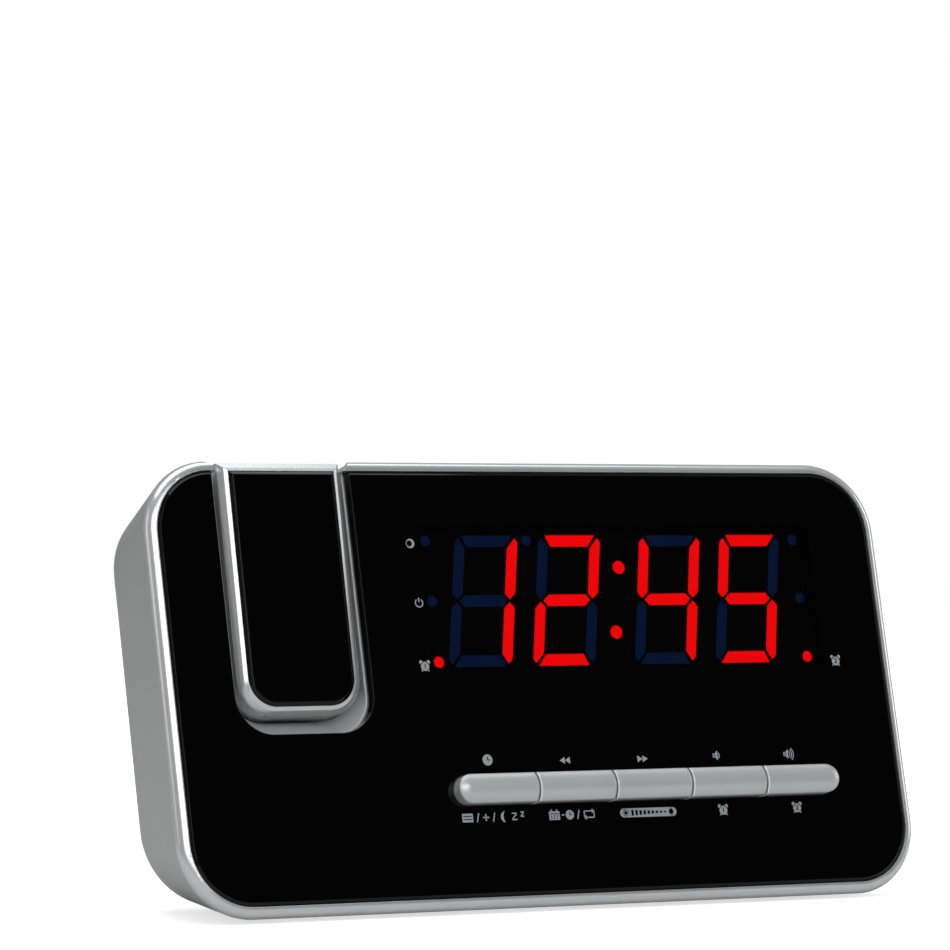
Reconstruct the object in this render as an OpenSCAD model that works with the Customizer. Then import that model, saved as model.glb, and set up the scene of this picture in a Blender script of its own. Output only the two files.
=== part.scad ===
// Projection clock radio: panel display with a swing-out projector arm.
// Object frame: +X right, +Y back, +Z up. Face frame (on_face): x right, y up along the
// leaning panel, z out of the panel toward the viewer, with 0 on the panel's front.

/* [Face] */
// Width of the black front panel
panel_w = 190.2; // [180:0.1:200]
// Height of the front panel, measured along its slope
panel_h = 99.8; // [96:0.1:110]
// Corner radius of the front panel
panel_r = 14.6; // [8:0.1:18]
// Thickness of the acrylic panel
panel_t = 3; // [2:0.5:4]
// Lean of the face back from the vertical, in degrees
lean = 13.6; // [8:0.1:18]
// Width of the bezel round the panel
bezel_w = 2.45; // [2.4:0.05:3]
// Rounding of the bezel's outer edge, and its depth
bezel_r = 2.3; // [1.6:0.1:2.4]
// Depth of the bezel's skirt behind its seat
skirt_h = 1.5; // [1:0.1:2.2]
// Thickness of the bezel's skirt
skirt_t = 0.9; // [0.7:0.1:1.2]
// Width of the polished chamfer round the panel
panel_bevel = 0.85; // [0.3:0.05:1.2]
// Depth of the chamfers on the panel
panel_bevel_d = 0.5; // [0.3:0.1:1.2]

/* [Housing] */
// Horizontal depth from the panel's front to the back wall
housing_d = 48; // [47:0.5:58]
// Width of the back wall
back_w = 171.2; // [165:0.1:180]
// Corner radius of the back wall
back_r = 17.5; // [14:0.5:22]
// Housing wall
wall = 2.2; // [1.8:0.1:2.6]
// Rounding of the rear edge
back_edge = 5; // [3:0.5:6]
// Height of the rubber feet under the floor
foot_h = 1; // [1:0.1:3]
// Diameter of a rubber foot
foot_d = 9; // [6:0.5:12]
// Depth of a foot's plug in the floor
foot_plug = 1.2; // [0.8:0.1:1.6]
// Distance of the feet from the middle, sideways
foot_x = 66; // [40:1:70]
// Distance from the front edge of the floor to the front feet
foot_front = 16; // [10:1:20]
// Distance from the back edge of the floor to the back feet
foot_back = 10; // [8:1:14]
// Left end of the row of vents, from the panel's middle
vent_u = -72; // [-74:1:-68]
// Height of the vents' middle above the panel's middle
vent_v = 26; // [20:1:28]
// Length of a vent
vent_l = 22; // [12:1:24]

/* [Fits] */
// Clearance of parts that are fixed together
fit = 0.1; // [0.05:0.05:0.2]
// Clearance round parts that move
run = 0.3; // [0.2:0.05:0.4]
// Radial clearance of a pin in its bore
pin_run = 0.05; // [0.03:0.01:0.1]

/* [Projector arm] */
// Distance of the arm's middle from the panel's left edge
arm_side = 32.5; // [30:0.1:33]
// Width of the arm at the foot of its bevel
arm_w = 31.2; // [29:0.1:32]
// Height of the arm's top above the panel's top edge
arm_rise = 2.2; // [0.5:0.1:2.3]
// Length of the arm
arm_len = 58.6; // [56:0.1:60]
// Corner radius at the arm's bottom end
arm_r = 8.8; // [7:0.1:10]
// Width of the silver bevel round the arm's front
arm_bevel = 1.2; // [0.8:0.1:2]
// Depth of that bevel
arm_bevel_d = 1.2; // [0.8:0.1:2]
// Place of the bevel's foot behind the panel's front
arm_sink = 1.4; // [1:0.1:2]
// Slight set-back of the arm toward its lower end, in degrees
arm_set = 1.1; // [0:0.1:1.4]
// Width of the sloping silver rim round the black insert
rim_w = 0.9; // [0.7:0.1:1.5]
// Rise of that rim toward the insert
rim_rise = 0.45; // [0.3:0.05:0.7]
// Flat crest of the rim
rim_crest = 0.1; // [0.05:0.05:0.2]
// Thickness of the black insert
insert_t = 1.6; // [1.2:0.1:2]
// Width of the insert's own chamfer
insert_bevel = 0.75; // [0.5:0.05:1.5]
// Rise of the insert's face above that chamfer's edge
insert_rise = 0.6; // [0.3:0.1:1]
// Wall between the insert and the optics
seat_wall = 0.8; // [0.6:0.1:1]
// Wall of the arm's shell
arm_wall = 1.6; // [1.3:0.1:2]
// Distance of the hinge axis behind the panel's front
hinge_w = 13.4; // [12.5:0.1:14.5]
// Radius of the arm's rounded rear top edge, round the hinge axis
knuckle_r = 3.6; // [3.2:0.1:4]
// Radius of the hinge pins
pin_r = 1.5; // [1.2:0.1:1.8]
// Length of a pin inside the arm
pin_in = 5; // [3:0.5:6]
// Space between the arm's side and the edge of the panel's cut-out
cut_side = 1.85; // [1.4:0.05:2.4]
// Space between the arm's lower end and the cut-out's lower edge
cut_under = 4.6; // [4:0.1:6]
// Corner radius at the bottom of the cut-out
cut_r = 9; // [8:0.5:12]
// Width of the polished edge of the cut-out
cut_bevel = 0.2; // [0.1:0.1:0.6]
// Gap between the arm and the bezel's ends
bezel_gap = 0.5; // [0.4:0.1:1]
// Edge of the cradle that shows inside the cut-out
cradle_lip = 0.4; // [0.2:0.1:0.6]
// Gap between the arm and the cradle
cradle_gap = 0.5; // [0.4:0.1:0.8]
// Wall of the cradle behind the cut-out
cradle_wall = 2; // [1.5:0.1:2.4]
// Depth behind the panel at which the finger scoop ends
scoop_end = 8; // [6:0.5:10]

/* [Projector optics] */
// Outer radius of the focus ring
ring_r = 5.4; // [5:0.1:5.6]
// Length of the focus ring
ring_l = 9; // [7:0.5:11]
// Depth of the ring's top below the arm's top
ring_sink = 0.3; // [0.2:0.1:1]
// Radius of the projection lens
lens_r = 4.2; // [3.5:0.1:4.4]
// Thickness of the projection lens at its edge
lens_t = 1.6; // [1.2:0.1:2]
// How far the lens moves each way when it is focused
lens_travel = 0.6; // [0.3:0.1:0.8]
// Bulge of the projection lens
lens_bulge = 0.9; // [0.5:0.1:1.2]
// Outer radius of the light tunnel
tunnel_r = 5.6; // [5.4:0.1:6]
// Length of the light tunnel
tunnel_l = 22; // [18:1:26]
// Depth of the arm's small circuit board
led_board_d = 10; // [8:0.5:10.5]
// Radius of the projector's lamp
led_r = 2.5; // [2:0.1:3]
// Radius of the heads of the arm's screws
cover_head_r = 1.7; // [1.5:0.1:2]
// Height of those heads
cover_head_h = 0.9; // [0.6:0.1:1]
// Height of the arm's screws above its lower end
cover_screw_up = 8; // [7:0.5:10]
// Thickness of the arm's circuit board
led_board_t = 1.2; // [0.8:0.1:1.6]

/* [Front buttons] */
// Pitch of the buttons
button_pitch = 20.6; // [18:0.1:22]
// Height of a button
button_h = 6.8; // [6:0.1:8]
// Middle of the bank, right of the panel's middle
bank_u = 24.4; // [20:0.1:26]
// Middle of the bank, above the panel's bottom edge
bank_rise = 24.7; // [22:0.1:26]
// Gap between neighbouring buttons
button_gap = 0.5; // [0.4:0.05:0.8]
// Height of a button's long edges above the panel
button_edge = 2.2; // [1:0.1:2.5]
// Further rise of the crowned middle
button_crown = 1.5; // [1:0.1:2.2]
// Length by which the rounded end of the crown is cut off at the bank's ends
crown_cut = 0.8; // [0:0.05:0.8]
// Travel of a front button
button_travel = 0.8; // [0.4:0.1:1]
// Length of the bank beyond its five pitches
bank_extra = 0; // [0:0.1:1]
// Rim of the button's flange outside its cap
flange_rim = 0.9; // [0.6:0.1:1.2]
// Thickness of the button flanges
flange_t = 1.2; // [0.8:0.1:1.4]

/* [Top buttons] */
// Length of the snooze bar
snooze_l = 62; // [50:1:70]
// Length of the two small top keys
key_l = 14; // [12:0.5:16]
// Front-to-back width of the top buttons
top_key_w = 12; // [9:0.5:13]
// Middle of the snooze bar, right of the panel's middle
snooze_u = 17; // [12:1:20]
// Distance of the top buttons behind the panel's front
top_key_y = 22; // [21:0.5:24]
// Space between the snooze bar and its neighbours
key_space = 3.5; // [3.2:0.1:5]
// Height of the top buttons above the housing
top_key_h = 1.2; // [0.8:0.1:1.4]
// Travel of a top button
top_travel = 0.6; // [0.4:0.1:0.8]
// Distance of the top board's posts from the middle of the snooze bar
top_post_x = 17; // [14:1:20]

/* [Switches] */
// Side of a tact switch
switch_w = 6; // [5:0.5:7]
// Height of a tact switch
switch_h = 3.4; // [3:0.1:4]
// Radius of a button's stem where it enters its switch
stem_r = 1.6; // [1.2:0.1:1.8]
// Rest depth of the stem in its switch
stem_in = 0.6; // [0.4:0.1:0.8]
// Thickness of the circuit boards
board_t = 1.6; // [1:0.2:2]
// Space between a fully pressed button's flange and its switch
switch_space = 0.4; // [0.2:0.1:0.6]

/* [Display] */
// Height of a digit
digit_h = 31.2; // [26:0.1:34]
// Width of a digit before it is slanted
digit_w = 16.8; // [14:0.1:18]
// Width of a segment
segment_w = 2.75; // [2:0.05:3.5]
// Slant of the digits, in degrees
slant = 10.2; // [0:0.1:12]
// Pitch of two neighbouring digits
digit_pitch = 22.4; // [20:0.1:24]
// Extra space for the colon
colon_gap = 5.2; // [4:0.1:7]
// Middle of the display, right of the panel's middle
display_u = 24.45; // [23:0.05:25]
// Middle of the digits, below the panel's top edge
display_drop = 30.1; // [29:0.1:32]
// Gap between neighbouring segments
segment_gap = 0.7; // [0.4:0.1:1]
// Radius of the dots of the colon
colon_r = 1.6; // [1.2:0.1:2]
// Radius of the indicator dots
dot_r = 1.3; // [1:0.1:1.6]
// Distance of the left column of dots from the middle of the display
dot_left = 49.8; // [48:0.1:52]
// Distance of the right column of dots from the middle of the display
dot_right = 51; // [48:0.1:53]
// Pitch of the dots in a column
dot_pitch = 14.35; // [13:0.05:15]
// Rim of the reflector above and below the digits
display_rim = 2; // [1:0.1:2]
// Depth of the reflector block
reflector_d = 6; // [4:0.5:7]
// Depth of the segments in the reflector
segment_d = 2.4; // [1.5:0.1:3]
// Thickness of the smoked film in front of the reflector
film_t = 0.2; // [0.1:0.05:0.3]

/* [Inside] */
// Thickness of the front chassis plate
chassis_t = 2; // [1.5:0.1:2.5]
// Distance of the housing's seam behind the panel's front
seam_w = 20; // [18:1:24]
// Radius of the screw posts
post_r = 3.5; // [3:0.1:3.6]
// Radius of the housing screws' shank
screw_r = 1.4; // [1.2:0.1:1.5]
// Radius of a screw head
head_r = 2.7; // [2.4:0.1:2.8]
// Height of a screw head
head_h = 1.9; // [1.5:0.1:2.2]
// Radius of a small screw's head
small_head_r = 1.8; // [1.5:0.1:1.9]
// Height of a small screw's head
small_head_h = 1.2; // [0.8:0.1:1.4]
// Thickness of the display's lugs
lug_t = 1.6; // [1.2:0.1:2]
// Depth of the wells for the housing screws
well_d = 20; // [12:1:22]
// Length of the housing screws in the chassis
screw_bite = 9; // [6:1:12]
// Distance of the upper screw posts below the panel's top edge
post_drop = 5.4; // [4.9:0.1:5.9]
// Distance of the lower screw posts above the panel's bottom edge
post_rise = 14.4; // [13.9:0.1:14.9]
// Distance of the upper left screw post from the projector's cradle
post_space = 5.15; // [5:0.05:6]
// Radius of the small board posts
board_post_r = 2.2; // [2:0.1:2.4]
// Radius of the small screws' shank
small_screw_r = 0.9; // [0.7:0.1:1]
// Length of the small screws
small_screw_l = 5; // [4:0.5:7]
// Lower edge of the main board, above the panel's middle
main_low = -11; // [-13:0.5:-9]
// Space between the main board and the top board
board_gap = 0.8; // [0.5:0.1:1.2]
// Left edge of the main board
main_left = -31; // [-32:0.5:-29]
// Right edge of the main board
main_right = 62; // [58:0.5:63]
// Distance of the main board behind the panel's front
main_w = 18.4; // [18:0.1:19]
// Distance of the tall parts' row from the main board's upper edge
row_drop = 9; // [8.5:0.1:12]
// Width of the tuner's can
can_w = 24; // [18:0.5:26]
// Height of the tuner's can
can_h = 15; // [10:0.5:16]
// Depth of the tuner's can
can_d = 4.5; // [3:0.1:5]
// Distance of the can's middle from the main board's left edge
can_u = 76; // [74:1:80]

/* [Loudspeaker] */
// Outer radius of the loudspeaker
speaker_r = 28.5; // [20:0.5:29]
// Middle of the loudspeaker, right of the panel's middle
speaker_u = 41; // [36:0.5:44]
// Middle of the loudspeaker above the panel's middle
speaker_v = 8; // [6:0.5:10]
// Depth of the loudspeaker's basket
basket_d = 11; // [9:0.5:12]
// Width of the loudspeaker's outer flange
flange_w = 3; // [2.5:0.1:3.5]
// Radius of the magnet
magnet_r = 13; // [10:0.5:16]
// Height of the magnet
magnet_h = 6.5; // [5:0.5:7]
// Width of a grille slot
slot_w = 1.8; // [1.2:0.1:2.4]
// Pitch of the grille slots
slot_pitch = 4; // [3:0.1:5]

/* [Power] */
// Length of a backup cell
cell_l = 44.5; // [44:0.1:45]
// Diameter of a backup cell
cell_d = 10.5; // [10:0.1:10.5]
// Wall of the battery box
box_wall = 1.4; // [1.2:0.1:1.8]
// Thickness of the battery door
door_t = 1.8; // [1.4:0.1:1.9]
// Middle of the power inlet, right of the panel's middle
jack_u = -52; // [-58:1:-46]
// Middle of the power inlet above the panel's middle
jack_v = -24; // [-26:1:-20]
// Bore of the power inlet
jack_bore = 6.4; // [5.5:0.1:7]
// Outside width of the power inlet
jack_w = 10; // [9:0.5:12]
// Length of the power inlet
jack_l = 12; // [10:0.5:14]
// Diameter of the aerial's gland
gland_d = 5; // [4:0.5:6]
// Distance of the gland from the power inlet
gland_space = 16; // [12:1:20]
// Diameter of the inlet's centre pin
jack_pin = 2; // [1.6:0.1:2.5]

/* [Hidden] */
$fn = 72;

sliver = 0.01;
through = 1; // by which a cut passes a surface
far_top = 70; // above everything that is cut open at its top
button_n = 5;
speaker_screw_angles = [30, 150, 270];
body_silver = [0.70, 0.71, 0.72];
board_green = [0.05, 0.32, 0.16];

// Openings, outlines and the places that follow from them
opening_w = panel_w + 2*fit;
opening_h = panel_h + 2*fit;
opening_r = panel_r + fit;
display_v = panel_h/2 - display_drop;
bank_v = bank_rise - panel_h/2;
outer_w = opening_w + 2*bezel_w;
outer_r = opening_r + bezel_w;
top_v = opening_h/2 + bezel_w;
back_w_face = housing_d*cos(lean);
face_z = foot_h + top_v*cos(lean) + bezel_r*sin(lean);
round_cut = sin(lean) + cos(lean) - 1; // what a rounding of radius 1 takes off the length
face_y = -(back_w_face*cos(lean) - (back_edge - bezel_r)*round_cut)/2;
// The housing starts behind the bezel, at depth bezel_r, and tapers to the back wall
function back_part(depth) = (depth - bezel_r)/(back_w_face - bezel_r);
function side_at(depth) = outer_w/2 - (outer_w - back_w)/2*back_part(depth);
function corner_at(depth) = outer_r - (outer_r - back_r)*back_part(depth);
function floor_v(depth) = -top_v + (depth - bezel_r)*tan(lean);
inner_back = back_w_face - wall;
inner_edge = back_edge - wall;
floor_front_y = face_y - top_v*sin(lean) + bezel_r*cos(lean);
floor_back_y = face_y + floor_v(back_w_face)*sin(lean) + back_w_face*cos(lean);

// Arm, cradle and hinge
arm_u = arm_side - panel_w/2;
arm_top = panel_h/2 + arm_rise;
arm_low = arm_top - arm_len;
cut_w = arm_w + 2*cut_side;
cut_low = arm_low - cut_under;
arm_back = hinge_w + knuckle_r;
hinge_v = arm_top - knuckle_r;
set_back = (hinge_v - arm_low)*sin(arm_set);
cradle_back = arm_back + set_back + cradle_gap;
cradle_low = arm_low - cradle_gap - fit;
cradle_out = cut_w/2 + cradle_wall;
pocket_w = cut_w - 2*cradle_lip;
cradle_depth = cradle_back + cradle_wall;
arm_half = arm_w/2;
rim_in = arm_bevel + rim_w;
crest_in = rim_in - rim_crest;
rim_foot = arm_bevel_d - arm_sink;
rim_front = rim_foot + rim_rise;
insert_seat = rim_front - insert_t;
arm_floor = insert_seat - seat_wall;
optic_w = max(ring_r + run, tunnel_r) + 0.1 - arm_floor; // the optical axis, behind the panel's front
mount_low = hinge_v - 6;
cover_gap = pocket_w/2 - arm_half;
cover_in = arm_wall + fit;
cover_screws = [[-arm_half/2, arm_low + cover_screw_up], [arm_half/2, arm_low + cover_screw_up]];
tunnel_low = mount_low - tunnel_l;
arm_board_v = tunnel_low - 2;
ring_low = arm_top - ring_sink - ring_l;
lens_well = lens_t + lens_bulge + 2*lens_travel + 0.4;
lens_v = ring_low + ring_l - lens_well + lens_travel + 0.2;

// Top buttons, in the frame of on_top
key_middles = [snooze_u - snooze_l/2 - key_space - key_l/2, snooze_u,
               snooze_u + snooze_l/2 + key_space + key_l/2];
key_lengths = [key_l, snooze_l, key_l];
top_flange = wall + run;
top_board_z = top_flange + flange_t + top_travel + switch_space + switch_h;
top_posts = [snooze_u - top_post_x, snooze_u + top_post_x];
top_post_y = top_key_y + top_key_w/2 + 4.5;

// Chassis and boards, as distances behind the panel's front
chassis_in = skirt_t + 1; // step of the chassis inside the opening
chassis_back = panel_t + chassis_t;
reflector_front = panel_t + film_t;
board_front = reflector_front + reflector_d;
button_board_w = chassis_back + 4.4;
basket_rim_t = 1.2;
cone_d = basket_d - 3.5;
yoke_t = 1.5;
flange_front = panel_t + run;
flange_back = flange_front + flange_t;
bank_l = button_n*button_pitch + bank_extra;
flange_end = 5; // room for the bank's ends in its outer slices
digit_u = [for (i = [0:3]) (i - 1.5)*digit_pitch + (i < 2 ? -colon_gap/2 : colon_gap/2)];
display_w = dot_left + dot_right + 6;
display_h = digit_h + 2*display_rim;
display_mid = display_u + (dot_right - dot_left)/2;
post_top = panel_h/2 - post_drop;
post_low = post_rise - panel_h/2;
post_sides = [23.1, 21.1, 20.6]; // distances of the other posts from the panel's sides
screw_places = [[arm_u + cradle_out + post_space, post_top], [panel_w/2 - post_sides[0], post_top],
                [post_sides[1] - panel_w/2, post_low], [panel_w/2 - post_sides[2], post_low]];
main_back = main_w + board_t;
main_top = top_v - top_board_z - board_t - board_gap;
row_v = main_top - main_low - row_drop;
main_mid = [(main_left + main_right)/2, (main_low + main_top)/2];
main_posts = [[main_left + 4, main_low + 3], [main_right - 3, main_low + 3],
              [main_left + 4, main_top - board_post_r], [main_right - 3, main_top - board_post_r]];
button_posts = [bank_u - bank_l/2 - 6, bank_u + bank_l/2 + 5];
lug_posts = [display_mid - display_w/2 - 2.6, display_mid + display_w/2 + 2.6];

// Battery box
box_w = cell_l + 4;
box_d = 2*cell_d + 1;
box_h = cell_d + 1.5;
box_back_y = floor_back_y - 2*wall;
box_mid_y = box_back_y - box_wall - box_d/2;
box_floor = foot_h + wall;
door_w = box_w + 2;
door_l = box_d + 2*box_wall + 2*wall;
door_y = floor_back_y - door_l;
tongue = 1;
tongue_h = 0.6;
tongue_short = 2; // by which the tongues end before the door
cell_z = foot_h + door_t + run + 0.2 + cell_d/2;

// ---------- frames and outlines ----------
module on_face() translate([0, face_y, face_z]) rotate([90 - lean, 0, 0]) children();
module on_top() on_face() translate([0, top_v, 0]) rotate([-90, 0, 0]) children();
module on_arm() on_face() translate([0, hinge_v, -hinge_w]) rotate([arm_set, 0, 0])
    translate([arm_u, -hinge_v, hinge_w]) children();
module behind(depth, t) translate([0, 0, -depth - t]) linear_extrude(t) children();

module round_rect(w, h, r) {
    square([w - 2*r, h], center = true);
    square([w, h - 2*r], center = true);
    for (x = [-1, 1], y = [-1, 1])
        translate([x*(w/2 - r), y*(h/2 - r)]) circle(r);
}
module pill(len, wid) {
    square([len - wid, wid], center = true);
    for (x = [-1, 1]) translate([x*(len - wid)/2, 0]) circle(d = wid);
}
// U outline, open at the top: square above, rounded at its lower corners
module u_outline(w, low, top, r) {
    translate([-w/2, low + r]) square([w, top - low - r]);
    translate([-w/2 + r, low]) square([w - 2*r, top - low]);
    for (x = [-1, 1]) translate([x*(w/2 - r), low + r]) circle(r);
}
// Sweeps a section (x outward, y front) round a rounded rectangle
module sweep_round_rect(w, h, r) {
    for (side = [0:3]) {
        reach = side % 2 == 0 ? w/2 : h/2;
        straight = side % 2 == 0 ? h - 2*r : w - 2*r;
        rotate([0, 0, 90*side]) {
            translate([reach, straight/2, 0]) rotate([90, 0, 0]) linear_extrude(straight) children();
            translate([reach - r, straight/2, 0]) rotate_extrude(angle = 90) translate([r, 0]) children();
        }
    }
}
module tube(r_out, r_in, h) difference() {
    cylinder(r = r_out, h = h);
    translate([0, 0, -1]) cylinder(r = r_in, h = h + 2);
}

// ---------- front ----------
module bezel_section() {
    translate([0, -bezel_r]) square([bezel_w - bezel_r, bezel_r]);
    translate([bezel_w - bezel_r, -bezel_r]) intersection() {
        circle(bezel_r);
        square(bezel_r + 1);
    }
    translate([0, -bezel_r - skirt_h]) square([skirt_t, skirt_h + sliver]);
}
// Mouth above the arm, opening upward at 45 degrees
module arm_mouth(half) translate([0, opening_h/2])
    polygon([[-half, -through], [half, -through], [half, 0], [half + 2*bezel_w, 2*bezel_w],
             [-half - 2*bezel_w, 2*bezel_w], [-half, 0]]);
module front_bezel() color(body_silver) on_face() difference() {
    sweep_round_rect(opening_w, opening_h, opening_r) bezel_section();
    translate([arm_u, 0, 0]) behind(-through, bezel_r + skirt_h + 2*through) arm_mouth(arm_half + bezel_gap);
}

module cut_outline(grow) translate([arm_u, 0])
    u_outline(cut_w + 2*grow, cut_low - grow, far_top, cut_r + grow);
module cradle_outline() translate([arm_u, 0])
    u_outline(2*cradle_out + 2*fit, cut_low - cradle_wall - fit, far_top, cut_r + cradle_wall);
module front_panel() color([0.03, 0.03, 0.035]) on_face() difference() {
    hull() {
        behind(panel_bevel_d, panel_t - panel_bevel_d) round_rect(panel_w, panel_h, panel_r);
        behind(0, sliver)
            round_rect(panel_w - 2*panel_bevel, panel_h - 2*panel_bevel, panel_r - panel_bevel);
    }
    behind(-through, panel_t + 2*through) cut_outline(0);
    hull() {
        behind(cut_bevel, sliver) cut_outline(0);
        behind(-sliver, sliver) cut_outline(cut_bevel);
    }
    behind(-through, panel_t + 2*through) translate([bank_u, bank_v]) pill(bank_l + 2*run, button_h + 2*run);
}

module screw_post(length) difference() {
    cylinder(r = post_r, h = length);
    translate([0, 0, -1]) cylinder(r = screw_r, h = screw_bite + 1 + head_h);
}
module front_chassis() color([0.10, 0.10, 0.11]) on_face() difference() {
    union() {
        behind(panel_t, chassis_t)
            round_rect(opening_w - 2*chassis_in, opening_h - 2*chassis_in, panel_r - skirt_t);
        for (p = screw_places) translate([p[0], p[1], -seam_w]) screw_post(seam_w - panel_t - sliver);
        for (p = main_posts) translate([p[0], p[1], -main_w])
            cylinder(r = board_post_r, h = main_w - panel_t - sliver);
        for (u = button_posts) translate([u, bank_v, -button_board_w])
            cylinder(r = board_post_r, h = button_board_w - panel_t - sliver);
    }
    // window of the display, slot of the button bank and cut-out of the cradle
    behind(panel_t - through, chassis_t + 2*through) translate([display_mid, display_v])
        square([display_w + 2*fit, display_h + 2*fit], center = true);
    behind(panel_t - through, chassis_t + 2*through) translate([bank_u, bank_v])
        pill(bank_l + 2*flange_rim + 2*run, button_h + 2*flange_rim + 2*run);
    behind(panel_t - through, chassis_t + 2*through) cradle_outline();
    // pilot bores
    for (p = main_posts) translate([p[0], p[1], -main_w - 1]) cylinder(r = small_screw_r, h = small_screw_l);
    for (u = button_posts) translate([u, bank_v, -button_board_w - 1])
        cylinder(r = small_screw_r, h = small_screw_l - board_t);
    for (u = lug_posts) translate([u, display_v, -chassis_back - 1])
        cylinder(r = small_screw_r, h = chassis_t + 0.5);
}

// ---------- rear housing ----------
module housing_section(depth, inset) behind(depth - sliver, sliver)
    translate([0, (top_v + floor_v(depth))/2])
        round_rect(2*(side_at(depth) - inset), top_v - floor_v(depth) - 2*inset, corner_at(depth) - inset);
module housing_outside() hull() {
    housing_section(bezel_r + sliver, 0);
    for (a = [0:22.5:90]) housing_section(back_w_face - back_edge*(1 - sin(a)), back_edge*(1 - cos(a)));
}
module housing_inside() hull() {
    housing_section(bezel_r - sliver, wall);
    for (a = [0:30:90]) housing_section(inner_back - inner_edge*(1 - sin(a)), wall + inner_edge*(1 - cos(a)));
}
module grille() for (i = [-6:6]) {
    chord = 2*sqrt(pow(speaker_r - flange_w, 2) - pow(i*slot_pitch, 2));
    translate([speaker_u, speaker_v + i*slot_pitch]) square([chord, slot_w], center = true);
}
module vents() for (i = [0:9]) translate([vent_u + i*slot_pitch, vent_v])
    square([slot_w, vent_l], center = true);

module battery_box_block(grow) translate([-box_w/2 - grow, box_mid_y - box_d/2 - grow, foot_h])
    cube([box_w + 2*grow, box_d + 2*grow, wall + box_h + grow]);

module rear_housing() color(body_silver) difference() {
    union() {
        difference() {
            on_face() housing_outside();
            on_face() housing_inside();
            // seat of the bezel's skirt and of the panel
            on_face() behind(0, bezel_r + skirt_h + fit)
                round_rect(opening_w + 2*skirt_t + 2*fit, opening_h + 2*skirt_t + 2*fit, opening_r + skirt_t);
            on_face() behind(0, panel_t) round_rect(opening_w, opening_h, opening_r);
        }
        // screw posts on the back wall
        on_face() for (p = screw_places) translate([p[0], p[1], -inner_back - sliver])
            cylinder(r = post_r, h = inner_back - seam_w + sliver);
        // posts of the top board, hanging from the top wall
        on_top() for (u = top_posts) translate([u, top_post_y, -top_board_z])
            cylinder(r = board_post_r, h = top_board_z - wall + sliver);
        // posts of the loudspeaker's screws
        on_face() for (a = speaker_screw_angles) translate([speaker_u, speaker_v, -inner_back - sliver])
            rotate([0, 0, a]) translate([speaker_r + board_post_r + fit, 0, 0])
                cylinder(r = board_post_r, h = basket_rim_t + sliver);
        // battery box
        intersection() {
            battery_box_block(box_wall);
            on_face() housing_outside();
        }
        // thicker floor round the door's grooves
        translate([-door_w/2 - tongue - run - box_wall, box_mid_y - box_d/2 - box_wall, box_floor - sliver])
            cube([door_w + 2*(tongue + run + box_wall), box_d + 2*box_wall, box_wall]);
        // pocket of the power inlet
        on_face() translate([jack_u, jack_v, -inner_back - sliver]) linear_extrude(3)
            square(jack_w + 2*fit + 2.4, center = true);
    }
    battery_box_block(0);
    // battery door's bay and the grooves of its tongues
    translate([-door_w/2 - run, door_y - run, -through])
        cube([door_w + 2*run, 2*door_l, through + foot_h + door_t + run]);
    translate([-door_w/2 - tongue - run, door_y - run, foot_h + door_t - tongue_h - run])
        cube([door_w + 2*tongue + 2*run, 2*door_l, tongue_h + 2*run]);
    // notch of the arm and its cradle
    on_face() behind(-through, cradle_depth + fit + through) cradle_outline();
    // openings of the top buttons
    on_top() for (i = [0:2]) translate([key_middles[i], top_key_y, -wall - 1]) linear_extrude(wall + 2)
        pill(key_lengths[i] + 2*run, top_key_w + 2*run);
    on_top() for (u = top_posts) translate([u, top_post_y, -top_board_z - 1])
        cylinder(r = small_screw_r, h = small_screw_l);
    on_face() {
        translate([0, 0, -back_w_face - 1]) linear_extrude(wall + 2) grille();
        translate([0, 0, -back_w_face - 1]) linear_extrude(wall + 2) vents();
        for (p = screw_places) translate([p[0], p[1], -back_w_face - 1]) {
            cylinder(r = screw_r + fit, h = back_w_face);
            cylinder(r = head_r + fit, h = well_d + 1);
        }
        for (a = speaker_screw_angles) translate([speaker_u, speaker_v, -inner_back - 1]) rotate([0, 0, a])
            translate([speaker_r + board_post_r + fit, 0, 0]) cylinder(r = small_screw_r, h = 4);
        translate([jack_u, jack_v, -inner_back]) linear_extrude(4) square(jack_w + 2*fit, center = true);
        translate([jack_u, jack_v, -back_w_face - 1]) cylinder(d = jack_bore + 1.6, h = wall + 2);
        translate([jack_u + gland_space, jack_v, -back_w_face - 1])
            cylinder(d = gland_d + 2*fit, h = wall + 2);
    }
    // plugs of the feet
    foot_places() cylinder(d = foot_d/2, h = foot_h + foot_plug);
}

module foot_places() for (x = [-1, 1], y = [floor_front_y + foot_front, floor_back_y - foot_back])
    translate([x*foot_x, y, 0]) children();
module rubber_feet() color([0.05, 0.05, 0.05]) foot_places() {
    cylinder(d = foot_d, h = foot_h - sliver);
    cylinder(d = foot_d/2 - 2*fit, h = foot_h + foot_plug - fit);
}
module housing_screws() color([0.55, 0.56, 0.58]) on_face() for (p = screw_places) {
    translate([p[0], p[1], -back_w_face + well_d - head_h]) cylinder(r = head_r, h = head_h);
    translate([p[0], p[1], -back_w_face + well_d - sliver])
        cylinder(r = screw_r - sliver, h = back_w_face - well_d - seam_w + screw_bite);
}

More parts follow.
